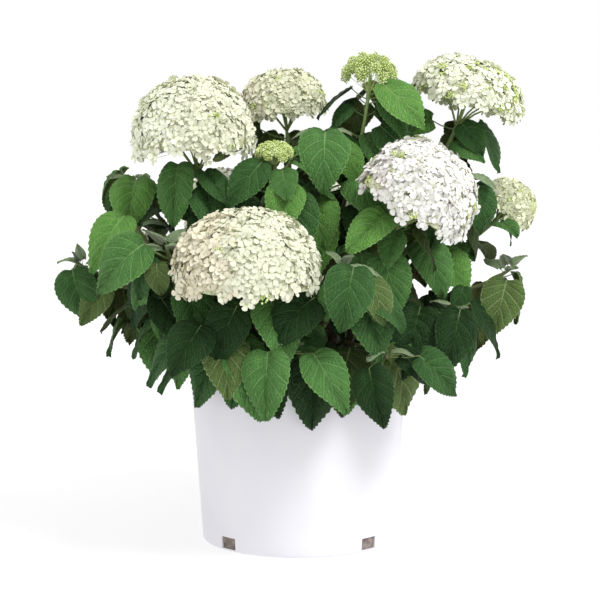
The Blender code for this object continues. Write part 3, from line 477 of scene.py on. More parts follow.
class Cane:
    """A smooth path from the soil to a shoot's tip, measured along its length."""

    def __init__(self, shoot):
        tip = np.array(shoot.tip)
        share = FOOT_SHARE + FOOT_LEAN_SHARE * shoot.lean / 90.0
        foot = np.array((tip[0] * share, tip[1] * share, 0.0))
        foot[2] = soil_height(math.hypot(foot[0], foot[1])) + CLEARANCE
        reach = np.linalg.norm(tip - foot)
        rise = foot + np.array((0.0, 0.0, FOOT_HANDLE * reach))
        arrive = tip - TIP_HANDLE * reach * lean_axis(shoot)
        t = np.linspace(0.0, 1.0, CANE_SAMPLES)[:, None]
        self.points = ((1 - t) ** 3 * foot + 3 * (1 - t) ** 2 * t * rise
                       + 3 * (1 - t) * t ** 2 * arrive + t ** 3 * tip)
        steps = np.linalg.norm(np.diff(self.points, axis=0), axis=1)
        self.marks = np.concatenate(((0.0,), np.cumsum(steps)))
        self.length = self.marks[-1]

    def at(self, distance):
        """Point at a distance along the path."""
        return np.array([np.interp(distance, self.marks, self.points[:, k]) for k in range(3)])

    def radius(self, distance):
        """Thickness there: the cane tapers evenly."""
        return CANE_FOOT_RADIUS + (CANE_TIP_RADIUS - CANE_FOOT_RADIUS) * distance / self.length


def cane_leaves(shoot):
    """Distances from the tip of each pair of leaves, top pair first."""
    first = FIRST_PAIR if shoot.radius > SMALL_HEAD else 0.5 * FIRST_PAIR
    step = INTERNODE * (1.0 - INTERNODE_LEAN * shoot.lean / 90.0)
    return [first + step * k for k in range(shoot.pairs)]


def limb_end(cane, start):
    """Where the bare cane stops under its mass: just clear of it, allowing for the bend."""
    below = unit(cane.at(start) - cane.at(0.5 * start))
    above = unit(cane.at(start + MASS_START) - cane.at(start))
    bend = math.acos(min(1.0, float(below @ above)))
    return start - CLEARANCE - cane.radius(start) * bend


def ring_faces(rings, sides):
    """Quads between rings of corners that are numbered ring after ring."""
    here = sides * np.arange(rings - 1)[:, None] + np.arange(sides)
    after = sides * np.arange(rings - 1)[:, None] + (np.arange(sides) + 1) % sides
    return np.stack((here, after, after + sides, here + sides), axis=-1).reshape(-1, 4).tolist()


def repeated(faces, count, corners):
    """The faces of one shape, repeated for count shapes of so many corners each."""
    faces = np.asarray(faces)
    shifts = corners * np.arange(count)[:, None, None]
    return (faces[None] + shifts).reshape(-1, faces.shape[1])


def tubes(points, radii, sides):
    """Closed tapering tubes along many paths at once.

    points is (tubes, marks, 3), and radii (tubes, marks) or (tubes, marks, sides).  Each
    ring lies square to its path, and a corner on the path closes each end.
    """
    count, marks = points.shape[:2]
    run = unit(points[:, -1] - points[:, 0])
    sideways = np.where(np.abs(run @ SIDEWAYS)[:, None] > NEARLY_ALONG, OTHER_SIDEWAYS, SIDEWAYS)
    headings = unit(np.gradient(points, axis=1))
    across = unit(np.cross(headings, sideways[:, None]))
    deep = np.cross(headings, across)
    turns = (math.tau * np.arange(sides) / sides)[:, None]
    rings = np.cos(turns) * across[:, :, None] + np.sin(turns) * deep[:, :, None]
    if radii.ndim == 2:
        radii = radii[..., None]
    corners = points[:, :, None] + radii[..., None] * rings
    verts = np.concatenate((corners.reshape(count, -1, 3), points[:, :1], points[:, -1:]), axis=1)
    side = np.arange(sides)
    after = (side + 1) % sides
    foot = marks * sides
    last = foot - sides
    ends = np.concatenate((fan(after, side, foot), fan(last + side, last + after, foot + 1)))
    return verts.reshape(-1, 3), [repeated(ring_faces(marks, sides), count, foot + 2),
                                  repeated(ends, count, foot + 2)]


def swellings(marks, places, length):
    """Bell-shaped rises between 0 and 1 at places along a path, at the given marks."""
    gaps = marks[:, None] - np.asarray(places)[None]
    return np.exp(-(gaps / length) ** 2).sum(axis=1)


def bark_radii(cane, marks, rng):
    """Radii (marks, sides) of fissured wood: long wandering ridges, swollen at the scars."""
    turns = math.tau * np.arange(BARK_SIDES) / BARK_SIDES
    ridges = np.zeros((len(marks), BARK_SIDES))
    for waves in BARK_RIDGES:
        drift = rng.uniform(-RIDGE_TWIST, RIDGE_TWIST) * marks
        pulse = np.cos(rng.uniform(*RIDGE_BREAKS) * marks + rng.uniform(0, math.tau))
        breaks = 1.0 - BREAK_DEPTH + BREAK_DEPTH * pulse
        ridges += breaks[:, None] * np.cos(waves * turns + drift[:, None] + rng.uniform(0, math.tau)) / 2
    scars = np.arange(FIRST_SCAR, cane.length, SCAR_SPACING)
    swell = SCAR_SWELL * swellings(marks, scars, SCAR_LENGTH)
    return cane.radius(marks)[:, None] * (1.0 + BARK_RELIEF * ridges + swell[:, None])


def stem_marks(shoot, cane):
    """Where a cane's green part starts, as in the model: under its lowest pair of leaves."""
    return cane.length - cane_leaves(shoot)[-1] - MASS_START


canes = [Cane(shoot) for shoot in SHOOTS]
draw = np.random.default_rng(CANE_SEED)
paths, widths = [], []
for shoot, cane in zip(SHOOTS, canes):
    marks = np.linspace(0.0, limb_end(cane, stem_marks(shoot, cane)), BARK_MARKS)
    paths.append(np.stack([cane.at(mark) for mark in marks]))
    widths.append(bark_radii(cane, marks, draw))
bark = Finish("cane_bark", (0.25, 0.19, 0.12), 0.85, Specular_IOR_Level=0.3)
spot = bark.add("Mapping", (("Vector", bark.place()), ("Scale", (1.0, 1.0, 0.16)))).outputs[0]
streak = bark.noise(spot, 520.0, 4.0)
bark.color(bark.ramp(streak, (0.32, (0.045, 0.032, 0.019)), (0.50, (0.135, 0.105, 0.066)),
                     (0.70, (0.25, 0.205, 0.14))))
bark.bump(streak, 0.0006, 0.8)
wood = mesh_piece("woody_canes", *tubes(np.array(paths), np.array(widths), BARK_SIDES), bark.material,
                  soft_up_to=70)
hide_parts(*(shoot.name + "_cane" for shoot in SHOOTS))
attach(wood, "root")

paths, widths = [], []
for shoot, cane in zip(SHOOTS, canes):
    start = stem_marks(shoot, cane)
    marks = np.linspace(start, cane.length, STEM_MARKS)
    path = np.stack([cane.at(mark) for mark in marks])
    pairs = cane.length - np.array(cane_leaves(shoot))
    width = cane.radius(marks) * (STEM_SHARE + NODE_SWELL * swellings(marks, pairs, NODE_LENGTH))
    if shoot.end == "dome":
        inside = path[-1] + STEM_INTO_HEAD * shoot.height * lean_axis(shoot)
        path = np.vstack((path, inside))
        width = np.append(width, width[-1])
    else:
        path = np.vstack((path, path[-1] + BUD_STEP * (path[-1] - path[-2])))
        width = np.append(width, BUD_SHARE * width[-1])
    paths.append(path)
    widths.append(width)
green_bark = Finish("green_stem", (0.20, 0.27, 0.08), 0.6, Specular_IOR_Level=0.4)
spot = green_bark.place()
height = green_bark.add("SeparateXYZ", ((0, spot),)).outputs["Z"]
# Darker and browner low down: partly the older stem's own colour, partly painted shade of the plant's
# dark inside; paler young green towards the tips.
fade = green_bark.math("MULTIPLY_ADD", green_bark.noise(spot, 60.0, 3.0), 0.10, height)
green_bark.color(green_bark.ramp(fade, (0.30, (0.085, 0.080, 0.034)), (0.44, (0.13, 0.175, 0.055)),
                                 (0.60, (0.28, 0.40, 0.13))))
green_bark.bump(green_bark.noise(spot, 900.0, 2.0), 0.0002, 0.5)
stems = mesh_piece("green_stems", *tubes(np.array(paths), np.array(widths), STEM_SIDES),
                   green_bark.material, soft_up_to=70)
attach(stems, "root")


# ---------------------------------------------------------------- leaves
# Opposite leaves grow from the nodes of every shoot by the model's own rule: broad ovate
# blades with a heart-shaped base and a toothed edge, quilted between their sunken veins,
# each on a stalk that turns it to the light.  Small silvery leaves open at the young tips.
LEAF_WIDTH = 0.78           # of its length
LEAF_THICKNESS = 0.013      # of its length, at the midrib
LEAF_STATIONS = (0.07, 0.38, 0.73)      # along the midrib
LEAF_HALF_WIDTHS = (0.82, 1.00, 0.58)   # of half the leaf's width, at the stations
MIDRIB_STATIONS = (0.25, 0.60)
LEAF_FOLD = math.radians(12)            # each half is lifted from the midrib
LEAF_CURL = math.radians(34)            # the midrib turns down this much to its tip
PETIOLE = 0.42              # of the leaf's length
PETIOLE_HALF = 0.0013
PAIR_SCALE = (0.90, 1.05, 1.10, 1.0)    # of the shoot's leaf length, top pair first
EXTRA_SCALE = 0.66                      # and for the leaves between pairs
EXTRA_DROP = 0.005                      # how far under its pair such a leaf stands
INNER_RADIUS = 0.11                     # the dark inside of the crown has none of those
INNER_TOP = 0.44

# How a leaf may lie.  Each has a number of tries: the first is the best, and the later
# ones stray further from it.  A spread is (at the first try, added by the last).
LEAF_TRIES = 60
OUTWARD = 0.75              # how strongly leaves turn towards the outside
OUTWARD_LOW = 0.50          # and how much more where the crown hangs over the pot
LOW_TOP = 0.36              # the crown hangs from this height down
LOW_BAND = 0.10
NEAR_AXIS = 0.05            # closer to the middle than this, outside counts for less
SPIN_SPREAD = 14            # degrees, of a pair's own direction
TURN_SPREAD = (8, 62)
DROOP = 24
DROOP_OUTWARD = 26          # more for a leaf that faces out
DROOP_LOW = 22              # and more where the crown hangs
DROOP_SPREAD = (8, 34)
STEEPEST_LEAF = math.radians(84)
ROLL_SPREAD = 12
TO_LIGHT = math.radians(36) # a leaf at the flanks rolls this far to face front or back
LIGHT_SIDE = 0.05           # leaves turn to the front up to this far behind the middle
FLANK = 0.19                # leaves farther out to the side than this, and lower than
FLANK_TOP = 0.37            # this, hang limp from their stalks
FLANK_DROOP = 78
FLANK_TO_LIGHT = math.radians(56)
RISE = math.radians(28)     # of the stalk
RISE_SPREAD = (10, 26)
SHARPEST_BEND = math.radians(80)        # from the rising stalk down to the blade
LENGTH_SPREAD = 0.06
LENGTH_LOSS = 0.34          # a leaf is shorter by this share at its last try
STALK_SPREAD = (0.15, 0.9)
LEAF_CLEARANCE = 0.0012
ROOTED_SHARE = 0.22         # of a leaf's stalk, left out when room is tested
ROOTED_LENGTH = 0.0065      # at least this much of it
LEAF_SEED = 20
SEED_STEPS = (1000, 100, 10)            # from shoot to shoot, extra leaf, pair to pair
TUFT_PAIRS = {"dome": 0, "tuft": 1, "young": 2}
TUFT_TRIES = 14
TUFT_RISE = (18, 52)        # degrees, outer and inner young leaves
TUFT_RISE_SPREAD = 8
TUFT_RISE_STRAY = (-12, 25)
TUFT_SPIN_SPREAD = (12, 80)
TUFT_OUTWARD = 0.6          # how strongly they turn the way their shoot leans
TUFT_SCALE = (1.25, 0.75)   # of the shoot's radius, their length
TUFT_LENGTH_SPREAD = 0.1
TUFT_LENGTH_LOSS = 0.35
TUFT_STALK = 0.009
TUFT_DROP = 0.004
TUFT_SEED = 7020
TUFT_SEED_STEPS = (40, 2)   # from shoot to shoot, pair to pair
DOME_RINGS = (26, 50, 72, 90)           # degrees from the crown of a flower head
DOME_ROUND = 0.85           # powers that make the dome fuller than an ellipsoid
DOME_FLAT = 0.9
DOME_SIDES = 12
SMALL_HEAD_SIDES = 8
RIM_RADIUS = 0.84           # of the radius: the rim that turns in underneath
RIM_DROP = 0.13             # of the height
DOME_HOLLOW = 0.06          # of the height: the underside's middle
DOME_SEED = 5
DOME_BUMP = 0.05            # spread of the bumps, and the share of it that is hollows
DOME_DENT = 0.7
TEST_MARKS = 14             # along a cane, when room is tested
TEST_CANE_SIDES = 5
TEST_POT_SIDES = 24
UP = np.array((0.0, 0.0, 1.0))

Leaf = namedtuple("Leaf", "root along droop roll length rise stalk kind")


def stalk_heading(leaf):
    """Direction in which a leaf's stalk rises from its node."""
    return math.cos(leaf.rise) * leaf.along + math.sin(leaf.rise) * UP


def leaf_shape(leaf, extra=0.0):
    """Corners and faces of one leaf with its stalk, as a closed lens.

    The three-sided stalk leaves the root and rises to the blade's base.  The blade points
    along, dips by droop, turns about its midrib by roll, and its midrib curls down in an
    arc.  Each half is lifted by the fold.  extra thickens the whole leaf.  Only a leaf of
    a pair has the full outline: a small one has fewer corners.
    """
    length = leaf.length
    stalk = stalk_heading(leaf)
    base = leaf.root + leaf.stalk * stalk
    forward = math.cos(leaf.droop) * leaf.along - math.sin(leaf.droop) * UP
    face = math.sin(leaf.droop) * leaf.along + math.cos(leaf.droop) * UP
    side = np.cross(forward, face)
    face, side = (math.cos(leaf.roll) * face + math.sin(leaf.roll) * side,
                  math.cos(leaf.roll) * side - math.sin(leaf.roll) * face)

    def midrib(share):
        turn = LEAF_CURL * share
        reach = length * math.sin(turn) / LEAF_CURL
        sink = length * (1.0 - math.cos(turn)) / LEAF_CURL
        return base + reach * forward - sink * face

    def lifted(share, half):
        turn = LEAF_CURL * share
        local_face = math.cos(turn) * face + math.sin(turn) * forward
        lift = abs(half) * math.sin(LEAF_FOLD)
        return midrib(share) + half * math.cos(LEAF_FOLD) * side + lift * local_face

    thick = length * LEAF_THICKNESS / 2
    half_width = length * LEAF_WIDTH / 2
    halves = [half_width * share + extra for share in LEAF_HALF_WIDTHS]
    left = [lifted(s, -h) for s, h in zip(LEAF_STATIONS, halves)]
    right = [lifted(s, h) for s, h in zip(LEAF_STATIONS, halves)]
    tip = midrib(1.0 + extra / length)
    tops = [midrib(s) + (thick + extra) * face for s in MIDRIB_STATIONS]
    unders = [midrib(s) - (thick + extra) * face for s in MIDRIB_STATIONS]
    across = PETIOLE_HALF + extra
    stalk_side = unit(np.cross(stalk, UP))
    stalk_face = np.cross(stalk_side, stalk)
    root_ring = [leaf.root - across * stalk_side + across * stalk_face,
                 leaf.root + across * stalk_side + across * stalk_face,
                 leaf.root - across * stalk_face]
    base_ring = [base - across * side + thick * face, base + across * side + thick * face,
                 base - across * face]
    if leaf.kind != "pair":
        verts = root_ring + base_ring + [left[1], right[1], tip, tops[0], unders[0]]
        rl, rr, rb, bl, br, bb, l2, r2, tp, t1, u1 = range(11)
        faces = [
            (rl, rb, rr), (rl, rr, br, bl), (rl, bl, bb, rb), (rr, rb, bb, br),
            (bl, br, t1), (bl, t1, l2), (l2, t1, tp), (br, r2, t1), (r2, tp, t1),
            (bl, u1, bb), (bl, l2, u1), (l2, tp, u1), (br, bb, u1), (br, u1, r2), (r2, u1, tp),
        ]
        return verts, faces
    verts = root_ring + base_ring + left + right + [tip] + tops + unders
    rl, rr, rb, bl, br, bb, l1, l2, l3, r1, r2, r3, tp, t1, t2, u1, u2 = range(17)
    faces = [
        (rl, rb, rr), (rl, rr, br, bl), (rl, bl, bb, rb), (rr, rb, bb, br),
        (bl, br, t1), (bl, t1, l1), (l1, t1, l2), (l2, t1, t2), (l2, t2, l3), (l3, t2, tp),
        (br, r1, t1), (r1, r2, t1), (r2, t2, t1), (r2, r3, t2), (r3, tp, t2),
        (bl, u1, bb), (bl, l1, u1), (l1, l2, u1), (l2, u2, u1), (l2, l3, u2), (l3, tp, u2),
        (br, bb, u1), (br, u1, r1), (r1, u1, r2), (r2, u1, u2), (r2, u2, r3), (r3, u2, tp),
    ]
    return verts, faces


def head_frame(shoot):
    """Two sideways directions and the axis of a head."""
    axis = lean_axis(shoot)
    across = unit(np.cross(np.array((0.0, 1.0, 0.0)), axis))
    return across, np.cross(axis, across), axis


def dome_shape(shoot, index, grow):
    """A bumpy dome: a rounded top over a rim that turns in underneath."""
    rng = random.Random(DOME_SEED + index)
    across, deep, axis = head_frame(shoot)
    centre = np.array(shoot.tip)
    radius = shoot.radius + grow
    height = shoot.height + grow
    sides = DOME_SIDES if shoot.radius > SMALL_HEAD else SMALL_HEAD_SIDES
    falls = np.radians(DOME_RINGS)
    outs = np.append(radius * np.sin(falls) ** DOME_ROUND, RIM_RADIUS * radius)
    upright = np.maximum(np.cos(falls), 0.0)
    lifts = np.append(height * upright ** DOME_FLAT, -RIM_DROP * height)
    rings = len(outs)
    bumps = np.array([rng.random() - DOME_DENT for _ in range(rings * sides)])
    swell = 1.0 + DOME_BUMP * bumps.reshape(rings, sides, 1)
    stagger = 0.5 * (np.arange(rings)[:, None] % 2)
    turns = math.tau * (np.arange(sides) + stagger)[..., None] / sides
    outer = np.cos(turns) * across + np.sin(turns) * deep
    corners = centre + swell * (outs[:, None, None] * outer + lifts[:, None, None] * axis)
    verts = np.vstack((centre + height * axis, corners.reshape(-1, 3),
                       centre + DOME_HOLLOW * height * axis))
    faces = [(0, 1 + k, 1 + (k + 1) % sides) for k in range(sides)]
    for ring in range(rings - 1):
        here = 1 + ring * sides
        below = here + sides
        for k in range(sides):
            after = (k + 1) % sides
            if ring % 2 == 0:
                faces.append((here + k, below + k, here + after))
                faces.append((here + after, below + k, below + after))
            else:
                faces.append((here + k, below + k, below + after))
                faces.append((here + k, below + after, here + after))
    last = 1 + (rings - 1) * sides
    bottom = len(verts) - 1
    faces += [(last + (k + 1) % sides, last + k, bottom) for k in range(sides)]
    return verts, faces


class Room:
    """The shapes already placed, each with its bounds for a quick first test."""

    def __init__(self):
        self.lows = np.empty((0, 3))
        self.highs = np.empty((0, 3))
        self.trees = []

    def fill(self, shape):
        """Takes the room of a shape."""
        verts, faces = shape
        points = np.array(verts)
        self.lows = np.vstack((self.lows, points.min(axis=0)))
        self.highs = np.vstack((self.highs, points.max(axis=0)))
        self.trees.append(BVHTree.FromPolygons(points.tolist(), faces))

    def is_clear(self, shape):
        """Whether a shape touches none of those already placed."""
        verts, faces = shape
        points = np.array(verts)
        near = np.all((self.lows <= points.max(axis=0)) & (self.highs >= points.min(axis=0)), axis=1)
        close = np.flatnonzero(near)
        if not len(close):
            return True
        tree = BVHTree.FromPolygons(points.tolist(), faces)
        return not any(self.trees[k].overlap(tree) for k in close)


def bar_shape(points, radii):
    """Corners and side faces of a plain round bar, which never runs along SIDEWAYS."""
    points = np.array(points)
    headings = unit(np.gradient(points, axis=0))
    across = unit(np.cross(headings, SIDEWAYS))
    deep = np.cross(headings, across)
    turns = (math.tau * np.arange(TEST_CANE_SIDES) / TEST_CANE_SIDES)[:, None]
    rings = np.cos(turns) * across[:, None] + np.sin(turns) * deep[:, None]
    verts = points[:, None] + np.array(radii)[:, None, None] * rings
    return verts.reshape(-1, 3), ring_faces(len(points), TEST_CANE_SIDES)


def pot_shape():
    """The filled pot as a plain cone with its rim and soil, for testing room."""
    rim = POT_HEIGHT + LEAF_CLEARANCE
    heap = SOIL_TOP + SOIL_CROWN + LEAF_CLEARANCE
    radii = np.array((POT_BASE_RADIUS, POT_TOP_RADIUS + 2 * BAND_PROUD,
                      POT_TOP_RADIUS - 2 * POT_WALL, LEAF_CLEARANCE))
    heights = np.array((0.0, rim, rim, heap))
    turns = math.tau * np.arange(TEST_POT_SIDES) / TEST_POT_SIDES
    verts = np.stack((np.outer(radii, np.cos(turns)), np.outer(radii, np.sin(turns)),
                      np.outer(heights, np.ones(TEST_POT_SIDES))), axis=-1)
    return verts.reshape(-1, 3), ring_faces(len(radii), TEST_POT_SIDES)


def spread(rng, degrees, ease):
    """A random angle: the first spread, and the second one more as the tries go on."""
    return math.radians(rng.uniform(-degrees[0], degrees[0])
                        + rng.uniform(-degrees[1], degrees[1]) * ease)


def at_flank(node):
    """Whether a node is at the low flanks, where the foliage is tired and hangs limp."""
    return abs(node[0]) > FLANK and node[2] < FLANK_TOP


def leaf_tries(shoot, index, pair, side, node, extra_leaf):
    """The ways one leaf may lie, the best first."""
    per_shoot, per_extra, per_pair = SEED_STEPS
    rng = random.Random(LEAF_SEED + per_shoot * index + per_extra * extra_leaf
                        + per_pair * pair + side)
    size = EXTRA_SCALE if extra_leaf else PAIR_SCALE[pair]
    quarter = pair + extra_leaf
    spin = math.radians(shoot.spin + 90.0 * quarter + 180.0 * side
                        + rng.uniform(-SPIN_SPREAD, SPIN_SPREAD))
    own = np.array((math.cos(spin), math.sin(spin), 0.0))
    outward = np.array((node[0], node[1], 0.0)) / max(math.hypot(node[0], node[1]), NEAR_AXIS)
    low = min(max((LOW_TOP - node[2]) / LOW_BAND, 0.0), 1.0)
    limp = at_flank(node)
    tries = []
    for k in range(LEAF_TRIES):
        ease = k / (LEAF_TRIES - 1)
        turn = rng.uniform(-1, 1) * math.radians(TURN_SPREAD[0] + TURN_SPREAD[1] * ease)
        along = unit(own + (OUTWARD + OUTWARD_LOW * low) * outward)
        along = np.array((along[0] * math.cos(turn) - along[1] * math.sin(turn),
                          along[0] * math.sin(turn) + along[1] * math.cos(turn), 0.0))
        facing_out = max(0.0, float(along @ outward))
        droop = math.radians(DROOP + (DROOP_OUTWARD + DROOP_LOW * low) * facing_out)
        droop = math.radians(FLANK_DROOP) if limp else droop
        droop = min(droop + spread(rng, DROOP_SPREAD, ease), STEEPEST_LEAF)
        across = along[0] if node[1] < LIGHT_SIDE else -along[0]
        roll = spread(rng, (ROLL_SPREAD, 0), 0.0) + (FLANK_TO_LIGHT if limp else TO_LIGHT) * across
        length = shoot.leaf * size * (1.0 - LENGTH_LOSS * ease)
        length *= rng.uniform(1.0 - LENGTH_SPREAD, 1.0 + LENGTH_SPREAD)
        rise = RISE * (1.0 - low) + spread(rng, RISE_SPREAD, ease)
        rise = min(rise, SHARPEST_BEND - droop)
        stalk = PETIOLE * length * rng.uniform(1.0 - STALK_SPREAD[0],
                                               1.0 + STALK_SPREAD[0] + STALK_SPREAD[1] * ease)
        tries.append(Leaf(node, along, droop, roll, length, rise, stalk,
                          "extra" if extra_leaf else "pair"))
    return tries


def tuft_tries(shoot, index, pair, side, node):
    """The ways one small young leaf at a leafy tip may stand, the best first."""
    per_shoot, per_pair = TUFT_SEED_STEPS
    rng = random.Random(TUFT_SEED + per_shoot * index + per_pair * pair + side)
    tries = []
    for k in range(TUFT_TRIES):
        ease = k / (TUFT_TRIES - 1)
        spin = math.radians(shoot.spin + 90.0 * (pair + 1) + 180.0 * side)
        spin += spread(rng, TUFT_SPIN_SPREAD, ease)
        own = np.array((math.cos(spin), math.sin(spin), 0.0))
        along = unit(own + TUFT_OUTWARD * lean_axis(shoot) * np.array((1.0, 1.0, 0.0)))
        rise = math.radians(TUFT_RISE[pair] + rng.uniform(-TUFT_RISE_SPREAD, TUFT_RISE_SPREAD)
                            + rng.uniform(*TUFT_RISE_STRAY) * ease)
        length = shoot.radius * TUFT_SCALE[pair] * (1.0 - TUFT_LENGTH_LOSS * ease)
        length *= rng.uniform(1.0 - TUFT_LENGTH_SPREAD, 1.0 + TUFT_LENGTH_SPREAD)
        tries.append(Leaf(node, along, -rise, 0.0, length, rise, TUFT_STALK, "tuft"))
    return tries


def first_clear(tries, room):
    """The first way of lying that touches nothing; the stalk's root is left out of the test."""
    for leaf in tries:
        rooted = max(ROOTED_SHARE, ROOTED_LENGTH / leaf.stalk)
        start = leaf.root + rooted * leaf.stalk * stalk_heading(leaf)
        probe = leaf._replace(root=start, stalk=(1.0 - rooted) * leaf.stalk, kind="pair")
        if room.is_clear(leaf_shape(probe, LEAF_CLEARANCE)):
            return leaf
    return None


def fill_with_canes(room, canes):
    """The pot, every cane and every flower head take their room first."""
    room.fill(pot_shape())
    for index, (shoot, cane) in enumerate(zip(SHOOTS, canes)):
        marks = np.linspace(0.0, cane.length, TEST_MARKS)
        if shoot.end == "dome":
            marks = marks[:-1]
            room.fill(dome_shape(shoot, index, LEAF_CLEARANCE))
        points = [cane.at(m) for m in marks]
        radii = [cane.radius(m) + LEAF_CLEARANCE for m in marks]
        room.fill(bar_shape(points, radii))


def place_leaves(canes, room):
    """Gives every shoot its leaves, none touching another.

    The young leaves at the tips come first, then the top pairs of all shoots, then the
    next pairs, and last the extra leaves at the same nodes.
    """
    leaves = [[] for _ in SHOOTS]

    def grow(index, tries):
        leaf = first_clear(tries, room)
        if leaf is not None:
            leaves[index].append(leaf)
            room.fill(leaf_shape(leaf))

    for index, (shoot, cane) in enumerate(zip(SHOOTS, canes)):
        for pair in range(TUFT_PAIRS[shoot.end]):
            node = cane.at(cane.length - TUFT_DROP * (2 - pair))
            for side in range(2):
                grow(index, tuft_tries(shoot, index, pair, side, node))
    for extra_leaf in (False, True):
        for pair in range(max(shoot.pairs for shoot in SHOOTS)):
            for index, (shoot, cane) in enumerate(zip(SHOOTS, canes)):
                if pair >= shoot.pairs:
                    continue
                node = cane.at(cane.length - cane_leaves(shoot)[pair] - EXTRA_DROP * extra_leaf)
                inside = math.hypot(node[0], node[1]) < INNER_RADIUS and node[2] < INNER_TOP
                if extra_leaf and inside:
                    continue
                for side in range(2):
                    grow(index, leaf_tries(shoot, index, pair, side, node, extra_leaf))
    return leaves


# The finer twigs: small side leaves in the gaps between the pairs.
SIDE_STEPS = (0.5, 0.2)     # of the way down to the next pair
SIDE_SCALES = (0.80, 0.58, 0.40)        # larger leaves first, smaller ones in what is left
SIDE_TRIES = 14
SIDE_SEED = 400


def side_leaves(canes, room):
    """Small leaves on short stalks between the pairs, wherever there is still room."""
    grown = []
    for turn, (scale, step) in enumerate(itertools.product(SIDE_SCALES, SIDE_STEPS)):
        for index, (shoot, cane) in enumerate(zip(SHOOTS, canes)):
            gaps = cane_leaves(shoot)
            spacing = gaps[1] - gaps[0]
            for pair, gap in enumerate(gaps):
                node = cane.at(cane.length - gap - step * spacing)
                for side in range(2):
                    tries = leaf_tries(shoot, index + SIDE_SEED * (turn + 1), pair, side, node, True)
                    small = [leaf._replace(length=leaf.length * scale / EXTRA_SCALE,
                                           stalk=leaf.stalk * scale / EXTRA_SCALE)
                             for leaf in tries[:SIDE_TRIES]]
                    leaf = first_clear(small, room)
                    if leaf is not None:
                        grown.append(leaf)
                        room.fill(leaf_shape(leaf))
    return grown


BLADE_ROWS = 32             # along the blade
BLADE_COLUMNS = 6
VEIN_PAIRS = 7
LOBE = 0.10                 # how far the heart's lobes reach behind the stalk
OUTLINE_START = 0.42        # the outline runs between these angles, base to tip
OUTLINE_END = math.pi - 0.03
OUTLINE_OVATE = 0.26        # how much wider the blade is below its middle
OUTLINE_POINT = 0.56        # how much the tip is drawn in
BLADE_TWIST = 0.42          # how far a blade turns on its stalk to either side
TWIST_WAVES = (900.0, 0.0, 1300.0)      # radians a metre
CURL_SPREAD = 0.60
CURL_WAVES = (0.0, 700.0, -1100.0)
VEIN_START = 2.1            # power that sets how slantwise the side veins run
VEIN_BEND = 1.15
TOOTH = 0.016               # of the length
TOOTH_LEAN = 0.8            # how much it points to the tip
QUILT = 0.021
MARGIN_WAVE = 0.034
WAVES_A_SIDE = 1.3          # of the edge, from the blade's base to its tip
SIDES_APART = 0.2           # of a wave, each way
MARGIN_TURN = 0.050         # how far the edge turns down
EXTRA_FOLD = 0.40           # how much more the halves rise beside the midrib
FOLD_SPREAD = (0.1, 1.5)    # shares of it
BLADE_BREADTHS = (0.78, 1.02)           # of LEAF_WIDTH, the narrowest and the broadest blade
YOUNG_BREADTH = 0.74        # a young leaf is this much narrower still, and boat-shaped
YOUNG_FOLD = 0.75
BLADE_THICKNESS = 0.006     # of the length
EDGE_THINNING = 0.6
RIB_DEPTH = 0.8             # of the thickness: how far the rib's middle lies under the fold
QUILT_RISE = 3              # how steeply the quilting rises from the midrib
MAP_MIDRIB = 0.25           # where the midrib runs on the blade's map
MAP_SPAN = 0.24             # half of the blade's width there
MAP_FOOT = 0.02             # where the blade starts on it
MAP_RUN = 0.96              # and how far it runs
STALK_SIDES = 5
STALK_RADIUS = 0.0012
STALK_PLACES = (0.0, 0.3, 0.65, 1.0)
STALK_SAG = 0.06            # of its length
RIB_PLACES = (0.08, 0.3, 0.55)          # the stalk goes on as a rib under the blade
STALK_TAPER = (1.3, 1.0, 0.9, 0.85, 0.7, 0.5, 0.25)     # at the places of both
STALK_LEAF = 0.09           # a leaf this long has a stalk of the full radius
STALK_SIZES = (0.45, 1.1)   # the thinnest and the thickest
LEAF_SHAPE_SEED = 31
CRINKLE_CELLS = (36.0, 26.0, 1.0)       # across and along the map
PATCH_CELLS = (7.0, 5.0, 1.0)
VEIN_BREADTH = 0.22         # of a side vein at the midrib, as a share of their spacing
VEIN_NARROWING = 0.09       # out to the edge
MIDRIB_EDGE = 17.0          # how sharply the midrib is drawn, and likewise
MARGIN_HIGHLIGHT_EDGE = 16.0          # the painted highlight along the margin
CREASE_EDGE = 4.0           # and the creases
MARGIN_HIGHLIGHT_START = 0.95         # of the half blade: where the painted highlight along the margin starts
SIDE_VEIN_SHARE = 0.8       # of the midrib's strength
CREASE_SHARE = 0.30         # of it, where veins are drawn
CREASE_DARK = 0.65          # how far the creases darken towards the shade
CREASE_DEPTH = 0.8          # of the midrib's depth
PATCH_TONE = (1.5, -0.35)   # gain and shift of the soft patches
BACK_HIGHLIGHT = 0.25            # painted light: paler towards the middle between two side veins, on the quilting's backs
PATCH_DEPTH = 0.3
NET_SHARE = 0.9             # how clear the underside's veins are
LEAF_RELIEF = 0.0012
SHADE_TOP = 0.42            # lower leaves stand in the plant's own shade, and are deeper
# share of the leaves with each tone at the top, and its change down to the soil
TONE_SHARES = {"fresh": (0.25, -1.0), "green": (0.34, -0.24), "deep": (0.36, 0.0),
               "shaded": (0.03, 0.75), "olive": (0.05, 0.0), "umber": (0.03, 0.0)}
FLANK_SHARES = {"fresh": 0.10, "green": 0.26, "deep": 0.20, "olive": 0.28, "umber": 0.16}


